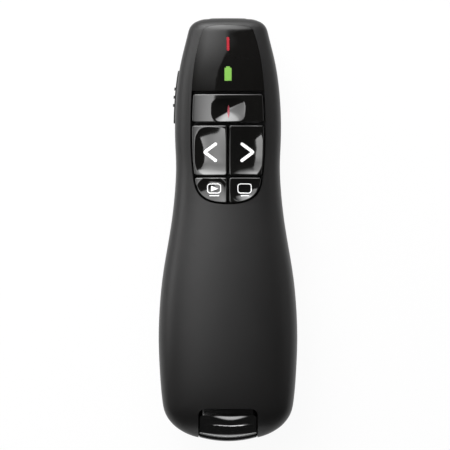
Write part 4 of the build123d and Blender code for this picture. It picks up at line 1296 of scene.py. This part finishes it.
floor_material = bpy.data.materials.new("pale_floor")
grey = (FLOOR_GREY, FLOOR_GREY, FLOOR_GREY, 1)
pale = bare_tree(floor_material).node("ShaderNodeBsdfDiffuse", {}, {0: grey})
rays = pale.node("ShaderNodeLightPath").socket.node.outputs
camera_ray, glossy_ray, glass_ray = (
    Wire(pale.tree, rays[kind]) for kind in
    ("Is Camera Ray", "Is Glossy Ray", "Is Transmission Ray"))
look = (camera_ray + glossy_ray + glass_ray).held() * FLOOR_WHITE_SHARE
white = pale.node("ShaderNodeEmission", {}, {0: WHITE})
show(pale.node("ShaderNodeMixShader", {}, {0: look, 1: pale, 2: white}))
far = FLOOR_REACH
floor_corners = [(-far, -far, 0), (far, -far, 0), (far, far, 0), (-far, far, 0)]
stage_mesh("floor", floor_corners, floor_material)

world = bpy.data.worlds.new("studio")
bpy.context.scene.world = world
dim_grey = (WORLD_LIGHT, WORLD_LIGHT, WORLD_LIGHT, 1)
dim = bare_tree(world).node("ShaderNodeBackground", {}, {0: dim_grey})
rays = dim.node("ShaderNodeLightPath").socket.node.outputs
white = dim.node("ShaderNodeBackground", {}, {0: WHITE})
parts = {0: Wire(dim.tree, rays["Is Camera Ray"]), 1: dim, 2: white}
show(dim.node("ShaderNodeMixShader", {}, parts), "ShaderNodeOutputWorld")
print("floor and world are white to the camera")

# %% [markdown]
# ## Cards of light
#
# A card is a plain face that glows on one side, and doesn't show itself to the camera, so that
# other views look past it. One side of it is lit, the other black.

# %% A card
def light_card(name, corners, strength, glow=None):
    """A card that shines on the side from which its corners turn left, as strong as its glow."""
    material = bpy.data.materials.new(name)
    place = bare_tree(material).node("ShaderNodeTexCoord", out=3)
    level = glow(place) if glow else WHITE
    light = place.node("ShaderNodeEmission", {}, {0: level, 1: strength})
    dark = place.node("ShaderNodeEmission", {}, {0: (0, 0, 0, 1), 1: 0.0})
    back = place.node("ShaderNodeNewGeometry", out=6)
    show(place.node("ShaderNodeMixShader", {}, {0: back, 1: light, 2: dark}))
    stage_mesh(name, corners, material).visible_camera = False
    print(name, "hangs with strength", strength)


print("cards can be hung")

# %% [markdown]
# ## The card over the keys
#
# One large card hangs above and to the left, towards the nose. Glossy keys mirror it, and its
# near edge draws the border between grey and black on them. As a softbox does, it glows weakly
# at that edge and more strongly further out.

# %% Hang the card over the keys
CARD_HEIGHT, CARD_STRENGTH = 0.7, 6.0
NEAR_EDGE = [(-0.32, -0.147), (-0.056, -0.05), (-0.111, 0.05), (-0.10, 0.154), (-0.081, 0.201),
             (-0.058, 0.26), (-0.038, 0.322), (-0.013, 0.35), (0.025, 0.36), (0.088, 0.387),
             (0.26, 0.459), (0.5, 0.56)]
FAR_EDGE = [(0.5, 1.3), (-1.2, 1.3), (-1.2, 0.875)]
EDGE_DIMMING, NOSE_GAIN = 0.6, 0.25


def key_glow(place):
    """Strongest overhead and towards the nose, fading to the left and to the near edge."""
    x, y, _ = axes(place)
    power = 1.95 * x - 0.17 * y - 5.0 * x * x - 5.0 * x * y + 0.48 * y * y
    by_keys = y.ramp(0.1, 0.22) * y.ramp(0.5, 0.42)
    by_edge = 1 - (y * 0.4 - x).ramp(0.16, 0.41)
    dimmed = 1 - by_keys * by_edge * EDGE_DIMMING
    at_nose = 1 + y.ramp(0.42, 0.62) * NOSE_GAIN
    corner = x.ramp(-0.03, 0.02) * (1 - (y - x * 0.42).ramp(0.35, 0.5))
    return power.math("EXPONENT") * dimmed * at_nose * (1 - corner)


outline = [(x, y, CARD_HEIGHT) for x, y in (NEAR_EDGE + FAR_EDGE)[::-1]]
light_card("key_card", outline, CARD_STRENGTH, key_glow)

# %% [markdown]
# ## The low cards
#
# Two cards at the sides draw the flanks, one past the nose lights its rim, and one past the tail
# fades upwards and gives the receiver its highlight.

# %% Hang the low cards
def upright(start, end, height, other_height):
    """Corners of an upright card: two places at one height, and back at the other height."""
    return [(*start, height), (*end, height), (*end, other_height), (*start, other_height)]


light_card("side_card", upright((-0.62, 0.0), (-0.62, 0.7), 0.1, 0.42), 4.0)
light_card("far_side_card", upright((0.62, 0.5), (0.62, -0.1), 0.1, 0.5), 0.7)
light_card("nose_card", upright((-0.7, 1.25), (0.7, 1.25), 0.1, 0.6), 5.0)
light_card("tail_card", upright((-0.34, -1.2), (0.34, -1.2), 0.26, 0.05), 5.5,
           lambda place: axes(place)[2].ramp(0.27, 0.07))
bpy.context.scene.view_settings.view_transform = "Standard"
print("view transform:", bpy.context.scene.view_settings.view_transform)

# %% [markdown]
# ## The last update
#
# The view layer is brought up to date, so that every piece stands where it was put. The
# visual pieces have to stay within the solids' box.

# %% Update the view layer
bpy.context.view_layer.update()
